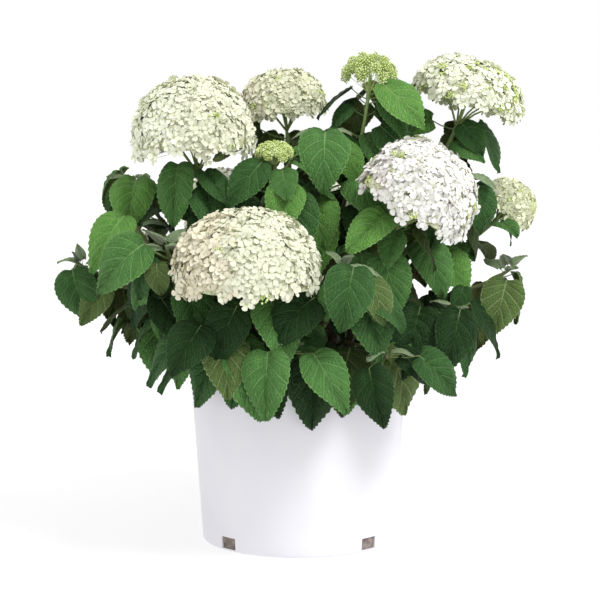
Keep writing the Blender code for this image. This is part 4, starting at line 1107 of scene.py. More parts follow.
def blade_axes(leaves):
    """Base, forward, face, side and curl of every blade, each an array (leaves, 1, 1, ...).

    Waves of the place of its node give each blade its own twist on the stalk and curl.
    """
    root = np.array([leaf.root for leaf in leaves])
    along = np.array([leaf.along for leaf in leaves])
    angles = np.array([(leaf.droop, leaf.roll, leaf.rise, leaf.stalk) for leaf in leaves])
    droop, roll, rise, stalk = (angles[:, k:k + 1] for k in range(4))
    base = root + stalk * (np.cos(rise) * along + np.sin(rise) * UP)
    forward = np.cos(droop) * along - np.sin(droop) * UP
    face = np.sin(droop) * along + np.cos(droop) * UP
    side = np.cross(forward, face)
    face, side = np.cos(roll) * face + np.sin(roll) * side, np.cos(roll) * side - np.sin(roll) * face
    twist = BLADE_TWIST * np.sin(root @ TWIST_WAVES)[:, None]
    forward, side = (np.cos(twist) * forward + np.sin(twist) * side,
                     np.cos(twist) * side - np.sin(twist) * forward)
    curl = LEAF_CURL * (1.0 + CURL_SPREAD * np.sin(root @ CURL_WAVES)[:, None])
    return [axis[:, None, None] for axis in (base, forward, face, side, curl)]


def on_blades(axes, length, x, y, lift):
    """Points at a share x of the curling midrib, y to its side and lift above the fold."""
    base, forward, face, side, curl = axes
    turn = curl * x[..., None]
    midrib = (base + length * np.sin(turn) / curl * forward
              - length * (1.0 - np.cos(turn)) / curl * face)
    local_face = np.cos(turn) * face + np.sin(turn) * forward
    y, lift = y[..., None], lift[..., None]
    return (midrib + length * y * math.cos(LEAF_FOLD) * side
            + length * (np.abs(y) * math.sin(LEAF_FOLD) + lift) * local_face)


def blade_surfaces(leaves, rng):
    """Toothed, quilted blades as closed sheets, with a map of (across, along) per corner.

    Row s starts on the midrib at s to a power and follows a side vein out to the edge,
    which is an oval widest below its middle.  The lift is a squared sine across the rows
    (the quilting between the veins), a wave along the edge and a turned-down margin.  The
    underside lies one thickness below and shares the edge.
    """
    count = len(leaves)
    length = np.array([leaf.length for leaf in leaves])[:, None, None, None]
    s = np.linspace(0.0, 1.0, BLADE_ROWS + 1)[:, None]
    w = np.linspace(-1.0, 1.0, BLADE_COLUMNS + 1)[None]
    turn = OUTLINE_START + (OUTLINE_END - OUTLINE_START) * s
    share = (1.0 - np.cos(turn)) / 2
    half = np.sin(turn) * (1.0 + OUTLINE_OVATE * np.cos(turn)) * (1.0 - OUTLINE_POINT * share ** 4)
    half = half / half.max() * LEAF_WIDTH / 2
    edge_x = -LOBE + (1.0 + LOBE) * share
    tooth = TOOTH * (np.arange(BLADE_ROWS + 1)[:, None] % 2) * (np.abs(w) == 1.0)
    x = s ** VEIN_START + (edge_x - s ** VEIN_START) * np.abs(w) ** VEIN_BEND + TOOTH_LEAN * tooth
    young = np.array([leaf.kind == "tuft" for leaf in leaves])[:, None, None]
    plump = rng.uniform(*BLADE_BREADTHS, (count, 1, 1)) * np.where(young, YOUNG_BREADTH, 1.0)
    y = plump * half * w + tooth * np.sign(w)
    phase = rng.uniform(0, math.tau, (count, 1, 1))
    wave = np.sin(math.tau * (WAVES_A_SIDE * s + SIDES_APART * np.sign(w)) + phase) * np.abs(w) ** 2
    quilt = (np.sin(math.pi * VEIN_PAIRS * s) ** 2 * np.minimum(1.0, QUILT_RISE * np.abs(w))
             * (1.0 - w ** 6))
    fold = EXTRA_FOLD * rng.uniform(*FOLD_SPREAD, (count, 1, 1)) + YOUNG_FOLD * young
    lift = (QUILT * quilt + MARGIN_WAVE * wave + fold * np.abs(y) * (1.0 - w ** 2)
            - MARGIN_TURN * np.abs(w) ** 3)
    x = np.broadcast_to(x, lift.shape)
    axes = blade_axes(leaves)
    top = on_blades(axes, length, x, y, lift)
    inner = lift - BLADE_THICKNESS * (1.0 - EDGE_THINNING * np.abs(w))
    under = on_blades(axes, length, x, y, inner)[:, 1:-1, 1:-1]
    rows, columns = BLADE_ROWS + 1, BLADE_COLUMNS + 1
    upper = np.arange(rows * columns).reshape(rows, columns)
    lower = upper.copy()
    lower[1:-1, 1:-1] = rows * columns + np.arange((rows - 2) * (columns - 2)).reshape(rows - 2, -1)
    r, c = np.indices((rows - 1, columns - 1)).reshape(2, -1)
    row, column = np.stack(((r, c), (r, c + 1), (r + 1, c + 1), (r + 1, c)), axis=-1)
    turned = [0, 3, 2, 1]       # so that both sides split into triangles alike
    faces = np.concatenate((upper[row, column], lower[row, column][:, turned]))
    upper_map = np.stack((MAP_MIDRIB + MAP_SPAN * w[0, column], MAP_FOOT + MAP_RUN * s[row, 0]),
                         axis=-1)
    maps = np.concatenate((upper_map, upper_map[:, turned] + (0.5, 0.0))).reshape(-1, 2)
    verts = np.concatenate((top.reshape(count, -1, 3), under.reshape(count, -1, 3)), axis=1)
    corners = verts.shape[1]
    return verts.reshape(-1, 3), [repeated(faces, count, corners)], np.tile(maps, (count, 1))


def leaf_stalks(leaves):
    """Tubes from the node to the blade, sagging a little, and on as a rib under it."""
    axes = blade_axes(leaves)
    length = np.array([leaf.length for leaf in leaves])[:, None, None]
    root = np.array([leaf.root for leaf in leaves])[:, None]
    share = np.array(STALK_PLACES)[:, None]
    way = axes[0][:, 0] - root
    sag = STALK_SAG * np.sin(math.pi * share) * np.linalg.norm(way, axis=-1, keepdims=True)
    stalk = root + share * way - sag * UP
    x = np.broadcast_to(RIB_PLACES, (len(leaves), 1, len(RIB_PLACES)))
    level = np.zeros(x.shape)
    rib = on_blades(axes, length[..., None], x, level, level - RIB_DEPTH * BLADE_THICKNESS)[:, 0]
    radii = STALK_RADIUS * np.array(STALK_TAPER)
    size = np.clip(length[:, 0] / STALK_LEAF, *STALK_SIZES)
    return tubes(np.concatenate((stalk, rib), axis=1), radii * size, STALK_SIDES)


def blade_finish(name, tone, shade, vein, clear, under, under_vein):
    """Matt leaf skin drawn on the blade's own map.

    The skin is crinkled: small cells between the side veins, painted shade in their
    creases and beside the sunken veins, painted light on their backs between the veins,
    and both drift in soft patches.  The midrib, the side veins and the net are sunk, and
    paler by the share clear, as is a thin painted highlight along the edge.  The right
    half of the map is the duller underside, whose veins stand out.
    """
    skin = Finish(name, tone, 0.50, Specular_IOR_Level=0.16)
    way = skin.add("UVMap", uv_map="OFBake").outputs[0]
    split = skin.add("SeparateXYZ", ((0, way),))
    u, v = split.outputs["X"], split.outputs["Y"]
    beneath = skin.math("GREATER_THAN", u, 0.5)
    half = skin.math("FRACT", skin.math("MULTIPLY", u, 2.0))
    out = skin.math("MULTIPLY", skin.math("ABSOLUTE", skin.math("SUBTRACT", half, 0.5)),
                    1 / (2 * MAP_SPAN))
    steps = VEIN_PAIRS / MAP_RUN
    run = skin.math("FRACT", skin.math("MULTIPLY_ADD", v, steps, 0.5 - MAP_FOOT * steps))
    gap = skin.math("MULTIPLY", skin.math("ABSOLUTE", skin.math("SUBTRACT", run, 0.5)), 2.0)
    width = skin.math("MULTIPLY_ADD", out, -VEIN_NARROWING, VEIN_BREADTH)
    side_vein = skin.fall(skin.math("DIVIDE", gap, width))
    midrib = skin.fall(skin.math("MULTIPLY", out, MIDRIB_EDGE))
    # A thin painted highlight along the blade's edge.
    margin = skin.math("MULTIPLY_ADD", out, MARGIN_HIGHLIGHT_EDGE, -MARGIN_HIGHLIGHT_START * MARGIN_HIGHLIGHT_EDGE)
    margin = skin.math("MAXIMUM", margin, 0.0)
    cell_place = skin.add("Mapping", (("Vector", way), ("Scale", CRINKLE_CELLS))).outputs[0]
    cells = skin.add("TexVoronoi", (("Vector", cell_place), ("Scale", 1.0)),
                     feature="DISTANCE_TO_EDGE", voronoi_dimensions="2D").outputs[0]
    crease = skin.fall(skin.math("MULTIPLY", cells, CREASE_EDGE))
    rib = skin.math("MAXIMUM", midrib, skin.math("MULTIPLY", side_vein, SIDE_VEIN_SHARE))
    patch_place = skin.add("Mapping", (("Vector", way), ("Scale", PATCH_CELLS))).outputs[0]
    patch = skin.noise(patch_place, 1.0, 3.0)
    # Painted light on the quilting's backs between the side veins, with the soft patches' own tone, less
    # painted shade in the creases.
    back_light_and_patches = skin.math("MULTIPLY_ADD", gap, BACK_HIGHLIGHT, skin.math("MULTIPLY_ADD", patch, *PATCH_TONE))
    blend = skin.math("MULTIPLY_ADD", crease, -CREASE_DARK, back_light_and_patches)
    body = skin.mix(blend, shade, tone)
    creases = skin.math("MULTIPLY", crease, CREASE_SHARE)
    lines = skin.math("MAXIMUM", skin.math("MAXIMUM", rib, margin), creases)
    above = skin.mix(skin.math("MULTIPLY", lines, clear), body, vein)
    net = skin.math("MAXIMUM", skin.math("MULTIPLY", rib, NET_SHARE), creases)
    below = skin.mix(net, under, under_vein)
    skin.color(skin.mix(beneath, above, below))
    sunk = skin.math("MAXIMUM", rib, skin.math("MULTIPLY", crease, CREASE_DEPTH))
    relief = skin.math("SUBTRACT", skin.math("MULTIPLY", patch, PATCH_DEPTH), sunk)
    skin.bump(relief, LEAF_RELIEF, 1.0)
    return skin.material


def dealt_tone(leaf, chance):
    """The tone of one leaf: silvery at the young tips, darker low down, tired at the flanks."""
    if leaf.kind == "tuft":
        return "young"
    low = max(0.0, (SHADE_TOP - leaf.root[2]) / SHADE_TOP)
    shares = {tone: max(0.0, top + change * low) for tone, (top, change) in TONE_SHARES.items()}
    if at_flank(leaf.root):
        shares = FLANK_SHARES
    total = sum(shares.values())
    for tone, share in shares.items():
        chance -= share / total
        if chance < 0.0:
            return tone
    return "deep"


# tone, shade in the creases, veins and how clear they are, underside and its veins
LEAF_TONES = {
    "fresh": ((0.162, 0.380, 0.070), (0.084, 0.232, 0.038), (0.37, 0.60, 0.22), 0.66,
              (0.17, 0.26, 0.075), (0.38, 0.45, 0.20)),
    "green": ((0.106, 0.270, 0.062), (0.047, 0.146, 0.030), (0.30, 0.51, 0.19), 0.66,
              (0.125, 0.180, 0.050), (0.31, 0.37, 0.15)),
    "deep": ((0.057, 0.162, 0.036), (0.023, 0.079, 0.018), (0.19, 0.35, 0.13), 0.58,
             (0.080, 0.118, 0.030), (0.23, 0.28, 0.10)),
    "shaded": ((0.019, 0.060, 0.013), (0.007, 0.028, 0.006), (0.085, 0.17, 0.056), 0.50,
               (0.044, 0.068, 0.015), (0.13, 0.16, 0.05)),
    "olive": ((0.112, 0.200, 0.040), (0.060, 0.114, 0.020), (0.40, 0.50, 0.24), 0.85,
              (0.120, 0.156, 0.042), (0.34, 0.38, 0.17)),
    "umber": ((0.047, 0.096, 0.020), (0.023, 0.050, 0.011), (0.20, 0.26, 0.10), 0.75,
              (0.070, 0.090, 0.026), (0.22, 0.25, 0.10)),
    "young": ((0.36, 0.48, 0.26), (0.22, 0.34, 0.15), (0.72, 0.80, 0.62), 0.88,
              (0.48, 0.55, 0.40), (0.72, 0.76, 0.64)),
}
room = Room()
fill_with_canes(room, canes)
leaves = [leaf for own in place_leaves(canes, room) for leaf in own]
leaves += side_leaves(canes, room)
draw = np.random.default_rng(LEAF_SHAPE_SEED)
dealt = [dealt_tone(leaf, draw.uniform()) for leaf in leaves]
for tone, colors in LEAF_TONES.items():
    own = [leaf for leaf, name in zip(leaves, dealt) if name == tone]
    verts, faces, maps = blade_surfaces(own, draw)
    blades = mesh_piece(f"leaves_{tone}", verts, faces, blade_finish(f"leaf_{tone}", *colors),
                        maps=maps, soft_up_to=75)
    if tone == "green":
        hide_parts(*(shoot.name for shoot in SHOOTS))
    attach(blades, "root")
stalk_skin = Finish("leaf_stalk", (0.19, 0.30, 0.09), 0.55, Specular_IOR_Level=0.35)
stalk_skin.mottle(40.0, 3.0, (0.35, (0.14, 0.20, 0.07)), (0.65, (0.24, 0.34, 0.12)))
stalks = mesh_piece("leaf_stalks", *leaf_stalks(leaves), stalk_skin.material, soft_up_to=70)
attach(stalks, "root")


# ---------------------------------------------------------------- flower heads
# Each head is a dome of hundreds of sterile florets with four rounded sepals, borne on thin
# green branches that fork from the top of the stem.  The florets hide a green core of
# branchlets; at the rim they hang free, and here and there green buds show between them.
GOLDEN_TURN = math.pi * (3.0 - math.sqrt(5.0))
FLORET_SPACING = 0.0070
HEAD_INSET = 0.0062         # the florets' middles lie this far inside the dome
FLORET_RADIUS = 0.0078
RIM_SINK = 0.08             # how far the florets run under the dome's widest ring
RIM_FALL = 0.04             # of the height
RIM_TURN_IN = 0.08
FLORET_TILT = 0.27
STEEP_NORMAL = 0.9          # a floret that faces so far up or down is turned about X instead
FLORET_DEPTH = (-0.0024, 0.0018)
HEAD_SWELL = 0.030
HANGING_SHARE = 0.45        # of the rim's florets, which hang on longer stalks
HANG = (0.01, 0.12)         # of the head's height
RAGGED = 0.10               # the rim is bare about up to here where it is ragged
RAGGED_WAVES = (5, 13)      # round the rim
HANG_AXIS = 0.5             # the hanging florets fall partly back along the head's axis
HANG_DOWN = (0.0, 0.0, 0.8) # and mostly straight down
RIM_FACING = 1.6            # how strongly the rim's florets face down
SPIRAL_STRAY = (0.04, 0.12) # off the even spiral, in height and in turn
DOME_AREA = (0.55, 0.45)    # how much a head's height and its radius count in its area
HEXAGON = 0.866             # room that each floret takes, of a square's
NEAR_CROWN = 0.999          # no floret stands right on the crown
FLORET_CUPS = (-0.4, 1.8)   # flattest and deepest, of the floret's own cup
FLORET_SIZES = (0.82, 1.15)
SEPAL_STEP = 0.09           # two of the four sepals lie this much lower
FLORET_BUD = 0.10
SEPAL_MAP = (0.10, 0.85)    # where a sepal starts on the floret's map, and its run
FLORET_BUD_MAP = 0.03       # and where the bud is
FLORET_BUD_GREEN = (0.50, 0.56, 0.22)
CORE_SCALE = 0.91
CORE_RINGS = 16
CORE_SIDES = 30
CORE_TOP = 0.12             # angle of the first ring from the crown
CORE_LUMPS = (0.93, 1.04)
CORE_HOLLOW = 0.12          # of its height: the underside's middle
PEDICEL_RADIUS = 0.00035
PEDICEL_ROOT = 0.62         # of the way from the head's middle out to the floret
PEDICEL_SIDES = 3
RAY_COUNT = 7
RAY_RADIUS = 0.0015
RAY_DROP = 0.42             # of the head's radius: how far below it the rays fork
RAY_REACH = 0.55
RAY_STRAY = 0.2             # of the rays' spacing
RAY_LIFT = 0.2              # of the head's height
RAY_SAG = 0.06              # of its radius
RAY_TAPER = (1.0, 0.8, 0.55)
RAY_SIDES = 6
BUD_RADIUS = 0.0015
BUD_SIZES = (0.75, 1.2)
BUD_SIDES = 5
BUD_BELT = 0.1              # of its radius: its widest ring lies this far above its middle
PATCH_RADIUS = 0.0068       # a patch of buds where florets are missing
PATCH_BUDS = 16
PATCH_SPREAD = 0.0027
PATCH_HEIGHTS = (-0.05, 0.9)
PATCH_LIFT = 0.0006
TONE_STRAY = 0.25           # how far single florets of each tone stray to the other side
HEAD_SEED = 71

# The tones of each head: (main, side, how far the side tone reaches in from the left, patches
# of buds).
HEAD_TONES = {
    "bloom_front_left": ("cream", "beige", 0.34, 4),
    "bloom_front_right": ("white", "lilac", 0.24, 12),
    "bloom_upper_left": ("cream", "ivory", 0.35, 8),
    "bloom_upper_right": ("ivory", "cream", 0.24, 48),
    "bloom_far_right": ("lime", "cream", 0.30, 9),
    "bloom_back_left": ("dusk", "beige", 0.20, 12),
    "bloom_rear": ("ivory", "white", 0.50, 12),
    "bloom_rear_left": ("white", "cream", 0.40, 10),
    "bloom_rear_right": ("ivory", "beige", 0.30, 14),
    "bloom_left_low": ("cream", "beige", 0.35, 8),
}
# base of the sepals, their middle and their edge
SEPAL_TONES = {
    "cream": ((0.45, 0.48, 0.26), (0.70, 0.72, 0.54), (0.78, 0.79, 0.63)),
    "ivory": ((0.47, 0.53, 0.26), (0.81, 0.84, 0.65), (0.88, 0.90, 0.75)),
    "white": ((0.54, 0.55, 0.42), (0.83, 0.82, 0.77), (0.88, 0.87, 0.83)),
    "lilac": ((0.48, 0.46, 0.38), (0.77, 0.73, 0.71), (0.83, 0.79, 0.78)),
    "beige": ((0.46, 0.43, 0.28), (0.72, 0.67, 0.50), (0.80, 0.76, 0.60)),
    "dusk": ((0.37, 0.39, 0.20), (0.65, 0.66, 0.47), (0.76, 0.77, 0.58)),
    "lime": ((0.40, 0.47, 0.19), (0.72, 0.77, 0.50), (0.81, 0.84, 0.62)),
}


def scattered(shape, faces, places, normals, spins, sizes):
    """One small shape set down many times: its Z on each normal, turned by spin and scaled.

    shape is (corners, 3), or (places, corners, 3) where the shape itself varies.
    """
    sideways = np.where(np.abs(normals[:, 2:]) > STEEP_NORMAL, (1.0, 0.0, 0.0), (0.0, 0.0, 1.0))
    first = unit(np.cross(sideways, normals))
    second = np.cross(normals, first)
    cos, sin = np.cos(spins)[:, None], np.sin(spins)[:, None]
    across, deep = cos * first + sin * second, cos * second - sin * first
    shape = np.broadcast_to(shape, (len(places),) + np.shape(shape)[-2:]) * sizes[:, None, None]
    verts = (places[:, None] + shape[..., :1] * across[:, None] + shape[..., 1:2] * deep[:, None]
             + shape[..., 2:] * normals[:, None])
    return verts.reshape(-1, 3), [repeated(faces, len(places), shape.shape[1])]


def floret_shape():
    """Four cupped sepals and the closed bud in their middle, with the map of their corners.

    A sepal is a closed lens: a fan of triangles above and one below on the same outline,
    narrow at the base and round at the end.  The map runs from the base to the edge.
    """
    outline = np.array(((0.04, 0.0, 0.0), (0.34, 0.33, 0.07), (0.76, 0.47, 0.14), (1.0, 0.20, 0.14),
                        (1.0, -0.20, 0.14), (0.76, -0.47, 0.14), (0.34, -0.33, 0.07)))
    sepal = np.vstack((outline, (0.60, 0.0, 0.05), (0.60, 0.0, -0.01)))
    rim = np.arange(len(outline))
    after = (rim + 1) % len(outline)
    lens = np.concatenate((fan(after, rim, len(outline)), fan(rim, after, len(outline) + 1)))
    corners, faces = [], []
    for k in range(4):
        turn = k * math.pi / 2
        x = sepal[:, 0] * math.cos(turn) - sepal[:, 1] * math.sin(turn)
        y = sepal[:, 0] * math.sin(turn) + sepal[:, 1] * math.cos(turn)
        corners.append(np.stack((x, y, sepal[:, 2] - SEPAL_STEP * (k % 2)), axis=-1))
        faces.append(lens + len(sepal) * k)
    bud = FLORET_BUD * np.array(((1, 0, 0), (0, 1, 0), (-1, 0, 0), (0, -1, 0), (0, 0, 1), (0, 0, -1.0)))
    corners.append(bud + (0.0, 0.0, FLORET_BUD))
    belt = np.arange(4)
    ahead = (belt + 1) % 4
    faces.append(np.concatenate((fan(belt, ahead, 4), fan(ahead, belt, 5))) + 4 * len(sepal))
    corners, faces = np.vstack(corners), np.concatenate(faces)
    reach = np.linalg.norm(corners[:, :2], axis=1)
    base, run = SEPAL_MAP
    spots = np.stack((base + run * np.minimum(reach, 1.0), np.full(len(corners), 0.5)), axis=-1)
    spots[4 * len(sepal):, 0] = FLORET_BUD_MAP
    return corners, faces, spots[faces].reshape(-1, 2)


def on_head(shoot, upright, turn, grow=0.0):
    """Points and outward normals of a head's dome; upright is 1 at its crown, 0 at its rim.

    Above the widest ring it is the model's dome, and below it turns in a little.
    """
    across, deep, axis = head_frame(shoot)
    upright, turn = upright[:, None], turn[:, None]
    outer = np.cos(turn) * across + np.sin(turn) * deep
    above = np.maximum(upright, 0.0)
    below = np.maximum(-upright, 0.0)
    radius, height = shoot.radius + grow, shoot.height + grow
    out = radius * np.sqrt(1.0 - above ** 2) ** DOME_ROUND
    out = out * (1.0 - RIM_TURN_IN * below / RIM_SINK)
    lift = height * (above ** DOME_FLAT - RIM_FALL * below / RIM_SINK)
    swell = 1.0 + HEAD_SWELL * np.sin(3 * turn + shoot.spin) * np.sqrt(1.0 - above ** 2)
    normal = unit(out / radius ** 2 * outer
                  + (lift / height ** 2 - RIM_FACING * below / height) * axis)
    return np.array(shoot.tip) + swell * (out * outer + lift * axis), normal


def head_florets(shoot, rng):
    """Places, normals, stalk roots and left shares of a head's florets, on a golden spiral."""
    radius, height = shoot.radius - HEAD_INSET, shoot.height - HEAD_INSET
    area = math.tau * radius * (DOME_AREA[0] * height + DOME_AREA[1] * radius) * (1.0 + RIM_SINK)
    count = int(area / FLORET_SPACING ** 2 / HEXAGON)
    k = np.arange(count) + 0.5
    upright = 1.0 - (1.0 + RIM_SINK) * k / count + rng.uniform(-0.5, 0.5, count) * SPIRAL_STRAY[0]
    upright = np.clip(upright, -RIM_SINK, NEAR_CROWN)
    turn = GOLDEN_TURN * k + rng.uniform(-0.5, 0.5, count) * SPIRAL_STRAY[1]
    places, normals = on_head(shoot, upright, turn, -HEAD_INSET)
    axis = lean_axis(shoot)
    hanging = (upright < 0.0) & (rng.uniform(0, 1, count) < HANGING_SHARE)
    drop = rng.uniform(*HANG, count) * height * hanging
    ragged = sum(np.sin(waves * turn + k * shoot.spin) for k, waves in enumerate(RAGGED_WAVES, 1))
    kept = upright > RAGGED * ragged - 0.5 * RAGGED * (1.0 + 2.0 * (ragged < 0.0))
    down = unit(HANG_AXIS * axis + HANG_DOWN)
    places = places + normals * rng.uniform(*FLORET_DEPTH, count)[:, None] - drop[:, None] * down
    normals = unit(normals + rng.normal(0, FLORET_TILT, (count, 3)))
    roots = np.array(shoot.tip) + PEDICEL_ROOT * (places - np.array(shoot.tip))
    left = (places - np.array(shoot.tip))[:, 0] / radius
    return places[kept], normals[kept], roots[kept], left[kept]


def core_surface(shoot, rng):
    """The lumpy core under the florets: the dome drawn in, closed by a hollow underside."""
    small = shoot._replace(radius=CORE_SCALE * shoot.radius, height=CORE_SCALE * shoot.height)
    upright = np.cos(np.linspace(CORE_TOP, math.pi / 2, CORE_RINGS))
    turn = math.tau * np.arange(CORE_SIDES) / CORE_SIDES
    points, _ = on_head(small, np.repeat(upright, CORE_SIDES), np.tile(turn, CORE_RINGS))
    centre, axis = np.array(shoot.tip), lean_axis(shoot)
    points = centre + (points - centre) * rng.uniform(*CORE_LUMPS, (len(points), 1))
    top, bottom = centre + small.height * axis, centre + CORE_HOLLOW * small.height * axis
    side = np.arange(CORE_SIDES)
    after = (side + 1) % CORE_SIDES
    last = CORE_SIDES * (CORE_RINGS - 1)
    caps = np.concatenate((fan(side, after, len(points)),
                           fan(last + after, last + side, len(points) + 1)))
    quads = np.array(ring_faces(CORE_RINGS, CORE_SIDES))[:, ::-1]
    return np.vstack((points, top, bottom)), quads, caps


def joined(shapes):
    """Several (verts, [faces, ...]) shapes as one."""
    verts, faces, start = [], [], 0
    for corners, parts in shapes:
        faces += [np.asarray(part) + start for part in parts]
        verts.append(corners)
        start += len(corners)
    kinds = sorted({part.shape[1] for part in faces})
    return np.vstack(verts), [np.concatenate([p for p in faces if p.shape[1] == kind]) for kind in kinds]


def bud_shape():
    """A tiny closed flower bud: two low fans of triangles on a belt of corners."""
    belt = np.arange(BUD_SIDES)
    turn = math.tau * belt / BUD_SIDES
    ring = np.stack((np.cos(turn), np.sin(turn), np.full(BUD_SIDES, BUD_BELT)), axis=-1)
    corners = np.vstack((ring, (0.0, 0.0, 1.0 + BUD_BELT), (0.0, 0.0, -1.0)))
    ahead = (belt + 1) % BUD_SIDES
    faces = np.concatenate((fan(belt, ahead, BUD_SIDES), fan(ahead, belt, BUD_SIDES + 1)))
    return corners, faces


floret, floret_faces, floret_map = floret_shape()
draw = np.random.default_rng(HEAD_SEED)
dealt = {tone: [] for tone in SEPAL_TONES}
pedicels, cores, rays, buds = [], [], [], []
for shoot, cane in zip(SHOOTS, canes):
    if shoot.name not in HEAD_TONES:
        continue
    main, side, reach, patches = HEAD_TONES[shoot.name]
    places, normals, roots, left = head_florets(shoot, draw)
    spots, ways = on_head(shoot, draw.uniform(*PATCH_HEIGHTS, patches),
                          draw.uniform(0, math.tau, patches), -HEAD_INSET)
    gaps = np.linalg.norm(places[:, None] - spots[None], axis=-1).min(axis=1)
    keep = gaps > PATCH_RADIUS
    places, normals, roots, left = places[keep], normals[keep], roots[keep], left[keep]
    for spot, way in zip(spots, ways):
        near = draw.normal(0, PATCH_SPREAD, (PATCH_BUDS, 3))
        buds.append((spot + near - (near @ way)[:, None] * way + PATCH_LIFT * way, way))
    chance = draw.uniform(-TONE_STRAY, TONE_STRAY, len(places))
    is_side = left + chance < 2 * reach - 1.0
    for tone, chosen in ((main, ~is_side), (side, is_side)):
        dealt[tone].append((places[chosen], normals[chosen]))
    pedicels.append((roots, places))
    verts, quads, caps = core_surface(shoot, draw)
    cores.append((verts, [quads, caps]))
    across, deep, axis = head_frame(shoot)
    fork = cane.at(cane.length - RAY_DROP * shoot.radius)
    stray = draw.uniform(-RAY_STRAY, RAY_STRAY, RAY_COUNT)
    turn = math.tau * (np.arange(RAY_COUNT) + stray) / RAY_COUNT
    outer = np.cos(turn)[:, None] * across + np.sin(turn)[:, None] * deep
    end = np.array(shoot.tip) + RAY_REACH * shoot.radius * outer + RAY_LIFT * shoot.height * axis
    bend = fork + 0.5 * (end - fork) - RAY_SAG * shoot.radius * outer
    rays.append(np.stack((np.broadcast_to(fork, end.shape), bend, end), axis=1))
for tone, colors in SEPAL_TONES.items():
    places, normals = (np.vstack(part) for part in zip(*dealt[tone]))
    count = len(places)
    shape = np.broadcast_to(floret, (count,) + floret.shape) * np.stack(
        (np.ones(count), np.ones(count), draw.uniform(*FLORET_CUPS, count)), axis=-1)[:, None]
    verts, faces = scattered(shape, floret_faces, places, normals, draw.uniform(0, math.tau, count),
                             FLORET_RADIUS * draw.uniform(*FLORET_SIZES, count))
    petal = Finish(f"sepal_{tone}", colors[1], 0.62, Specular_IOR_Level=0.25)
    split = petal.add("SeparateXYZ", ((0, petal.add("UVMap", uv_map="OFBake").outputs[0]),))
    petal.color(petal.ramp(split.outputs["X"], (0.04, FLORET_BUD_GREEN), (0.14, colors[0]),
                           (0.34, colors[1]), (0.95, colors[2])))
    sepals = mesh_piece(f"florets_{tone}", verts, faces, petal.material,
                        maps=np.tile(floret_map, (count, 1)), soft_up_to=80)
    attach(sepals, "root")

branchlet = Finish("branchlet_green", (0.25, 0.33, 0.11), 0.6, Specular_IOR_Level=0.3)
branchlet.mottle(50.0, 2.0, (0.35, (0.20, 0.27, 0.09)), (0.65, (0.32, 0.40, 0.15)))
ends = np.stack([np.vstack(part) for part in zip(*pedicels)], axis=1)
ray_paths = np.concatenate(rays)
ray_radii = np.full(ray_paths.shape[:2], RAY_RADIUS) * RAY_TAPER
threads = joined([tubes(ends, np.full(ends.shape[:2], PEDICEL_RADIUS), PEDICEL_SIDES),
                  tubes(ray_paths, ray_radii, RAY_SIDES)])
branches = mesh_piece("head_branchlets", *threads, branchlet.material, soft_up_to=70)
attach(branches, "root")

# The core stands in for the head's hidden inside: pale like the florets, with dark olive specks that are
# partly the green of stalks and buds deep in the head and partly painted shade in the gaps between
# florets.
core_green = Finish("head_core", (0.50, 0.52, 0.34), 0.9, Specular_IOR_Level=0.2)
speck = core_green.mottle(420.0, 4.0, (0.34, (0.20, 0.21, 0.08)), (0.46, (0.50, 0.52, 0.32)),
                          (0.66, (0.72, 0.73, 0.55)))
core_green.bump(speck, 0.0015, 0.8)
inner = mesh_piece("head_cores", *joined(cores), core_green.material, soft_up_to=70)
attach(inner, "root")

# The unopened heads: lumps of tiny green buds on spreading rays.
BUD_LUMPS = 21
BUDS_A_LUMP = 44
LUMP_RADIUS = 0.25          # of the head's radius
LUMP_CUT = 1.1              # of the lump's sphere: its underside bears no buds
LUMPS_DOWN_TO = 0.95        # from the crown almost to the rim
LUMP_INSET = 0.006
LUMP_REACH = (0.75, 1.12)   # of its radius: how far out its buds stand
LUMP_HUB = 0.5              # of its radius: how deep their stalks begin
BUD_FACING = 0.4            # how much they face the way of the lump
BUD_STALK_RADIUS = 0.0004
bud, bud_faces = bud_shape()
bud_places = [places for places, way in buds]
bud_normals = [np.broadcast_to(way, places.shape) for places, way in buds]
bud_rays = []
for shoot, cane in zip(SHOOTS, canes):
    if shoot.end != "dome" or shoot.name in HEAD_TONES:
        continue
    k = np.arange(BUD_LUMPS) + 0.5
    lumps_at, ways = on_head(shoot, 1.0 - LUMPS_DOWN_TO * k / BUD_LUMPS, GOLDEN_TURN * k, -LUMP_INSET)
    depth = LUMP_HUB * LUMP_RADIUS * shoot.radius
    for spot, way in zip(lumps_at, ways):
        i = np.arange(BUDS_A_LUMP) + 0.5
        up = 1.0 - LUMP_CUT * i / BUDS_A_LUMP
        out = np.sqrt(1.0 - up ** 2)
        first = unit(np.cross(way, SIDEWAYS))
        second = np.cross(way, first)
        turn = GOLDEN_TURN * i
        ball = (out * np.cos(turn))[:, None] * first + (out * np.sin(turn))[:, None] * second
        ball = ball + up[:, None] * way
        reach = LUMP_RADIUS * shoot.radius * draw.uniform(*LUMP_REACH, (BUDS_A_LUMP, 1))
        bud_places.append(spot + reach * ball)
        bud_normals.append(unit(ball + BUD_FACING * way))
        hub = np.broadcast_to(spot - depth * way, ball.shape)
        bud_rays.append(np.stack((hub, bud_places[-1]), axis=1))
    fork = cane.at(cane.length - RAY_DROP * shoot.radius)
    hubs = lumps_at - depth * ways
    bud_rays.append(np.stack((np.broadcast_to(fork, hubs.shape), hubs), axis=1))
bud_places, bud_normals = np.vstack(bud_places), np.vstack(bud_normals)
count = len(bud_places)
bud_green = Finish("bud_green", (0.33, 0.50, 0.12), 0.55, Specular_IOR_Level=0.3)
bud_green.mottle(260.0, 2.0, (0.34, (0.38, 0.48, 0.13)), (0.50, (0.60, 0.71, 0.26)),
                 (0.66, (0.78, 0.86, 0.48)))
beads = scattered(bud, bud_faces, bud_places, bud_normals, draw.uniform(0, math.tau, count),
                  BUD_RADIUS * draw.uniform(*BUD_SIZES, count))
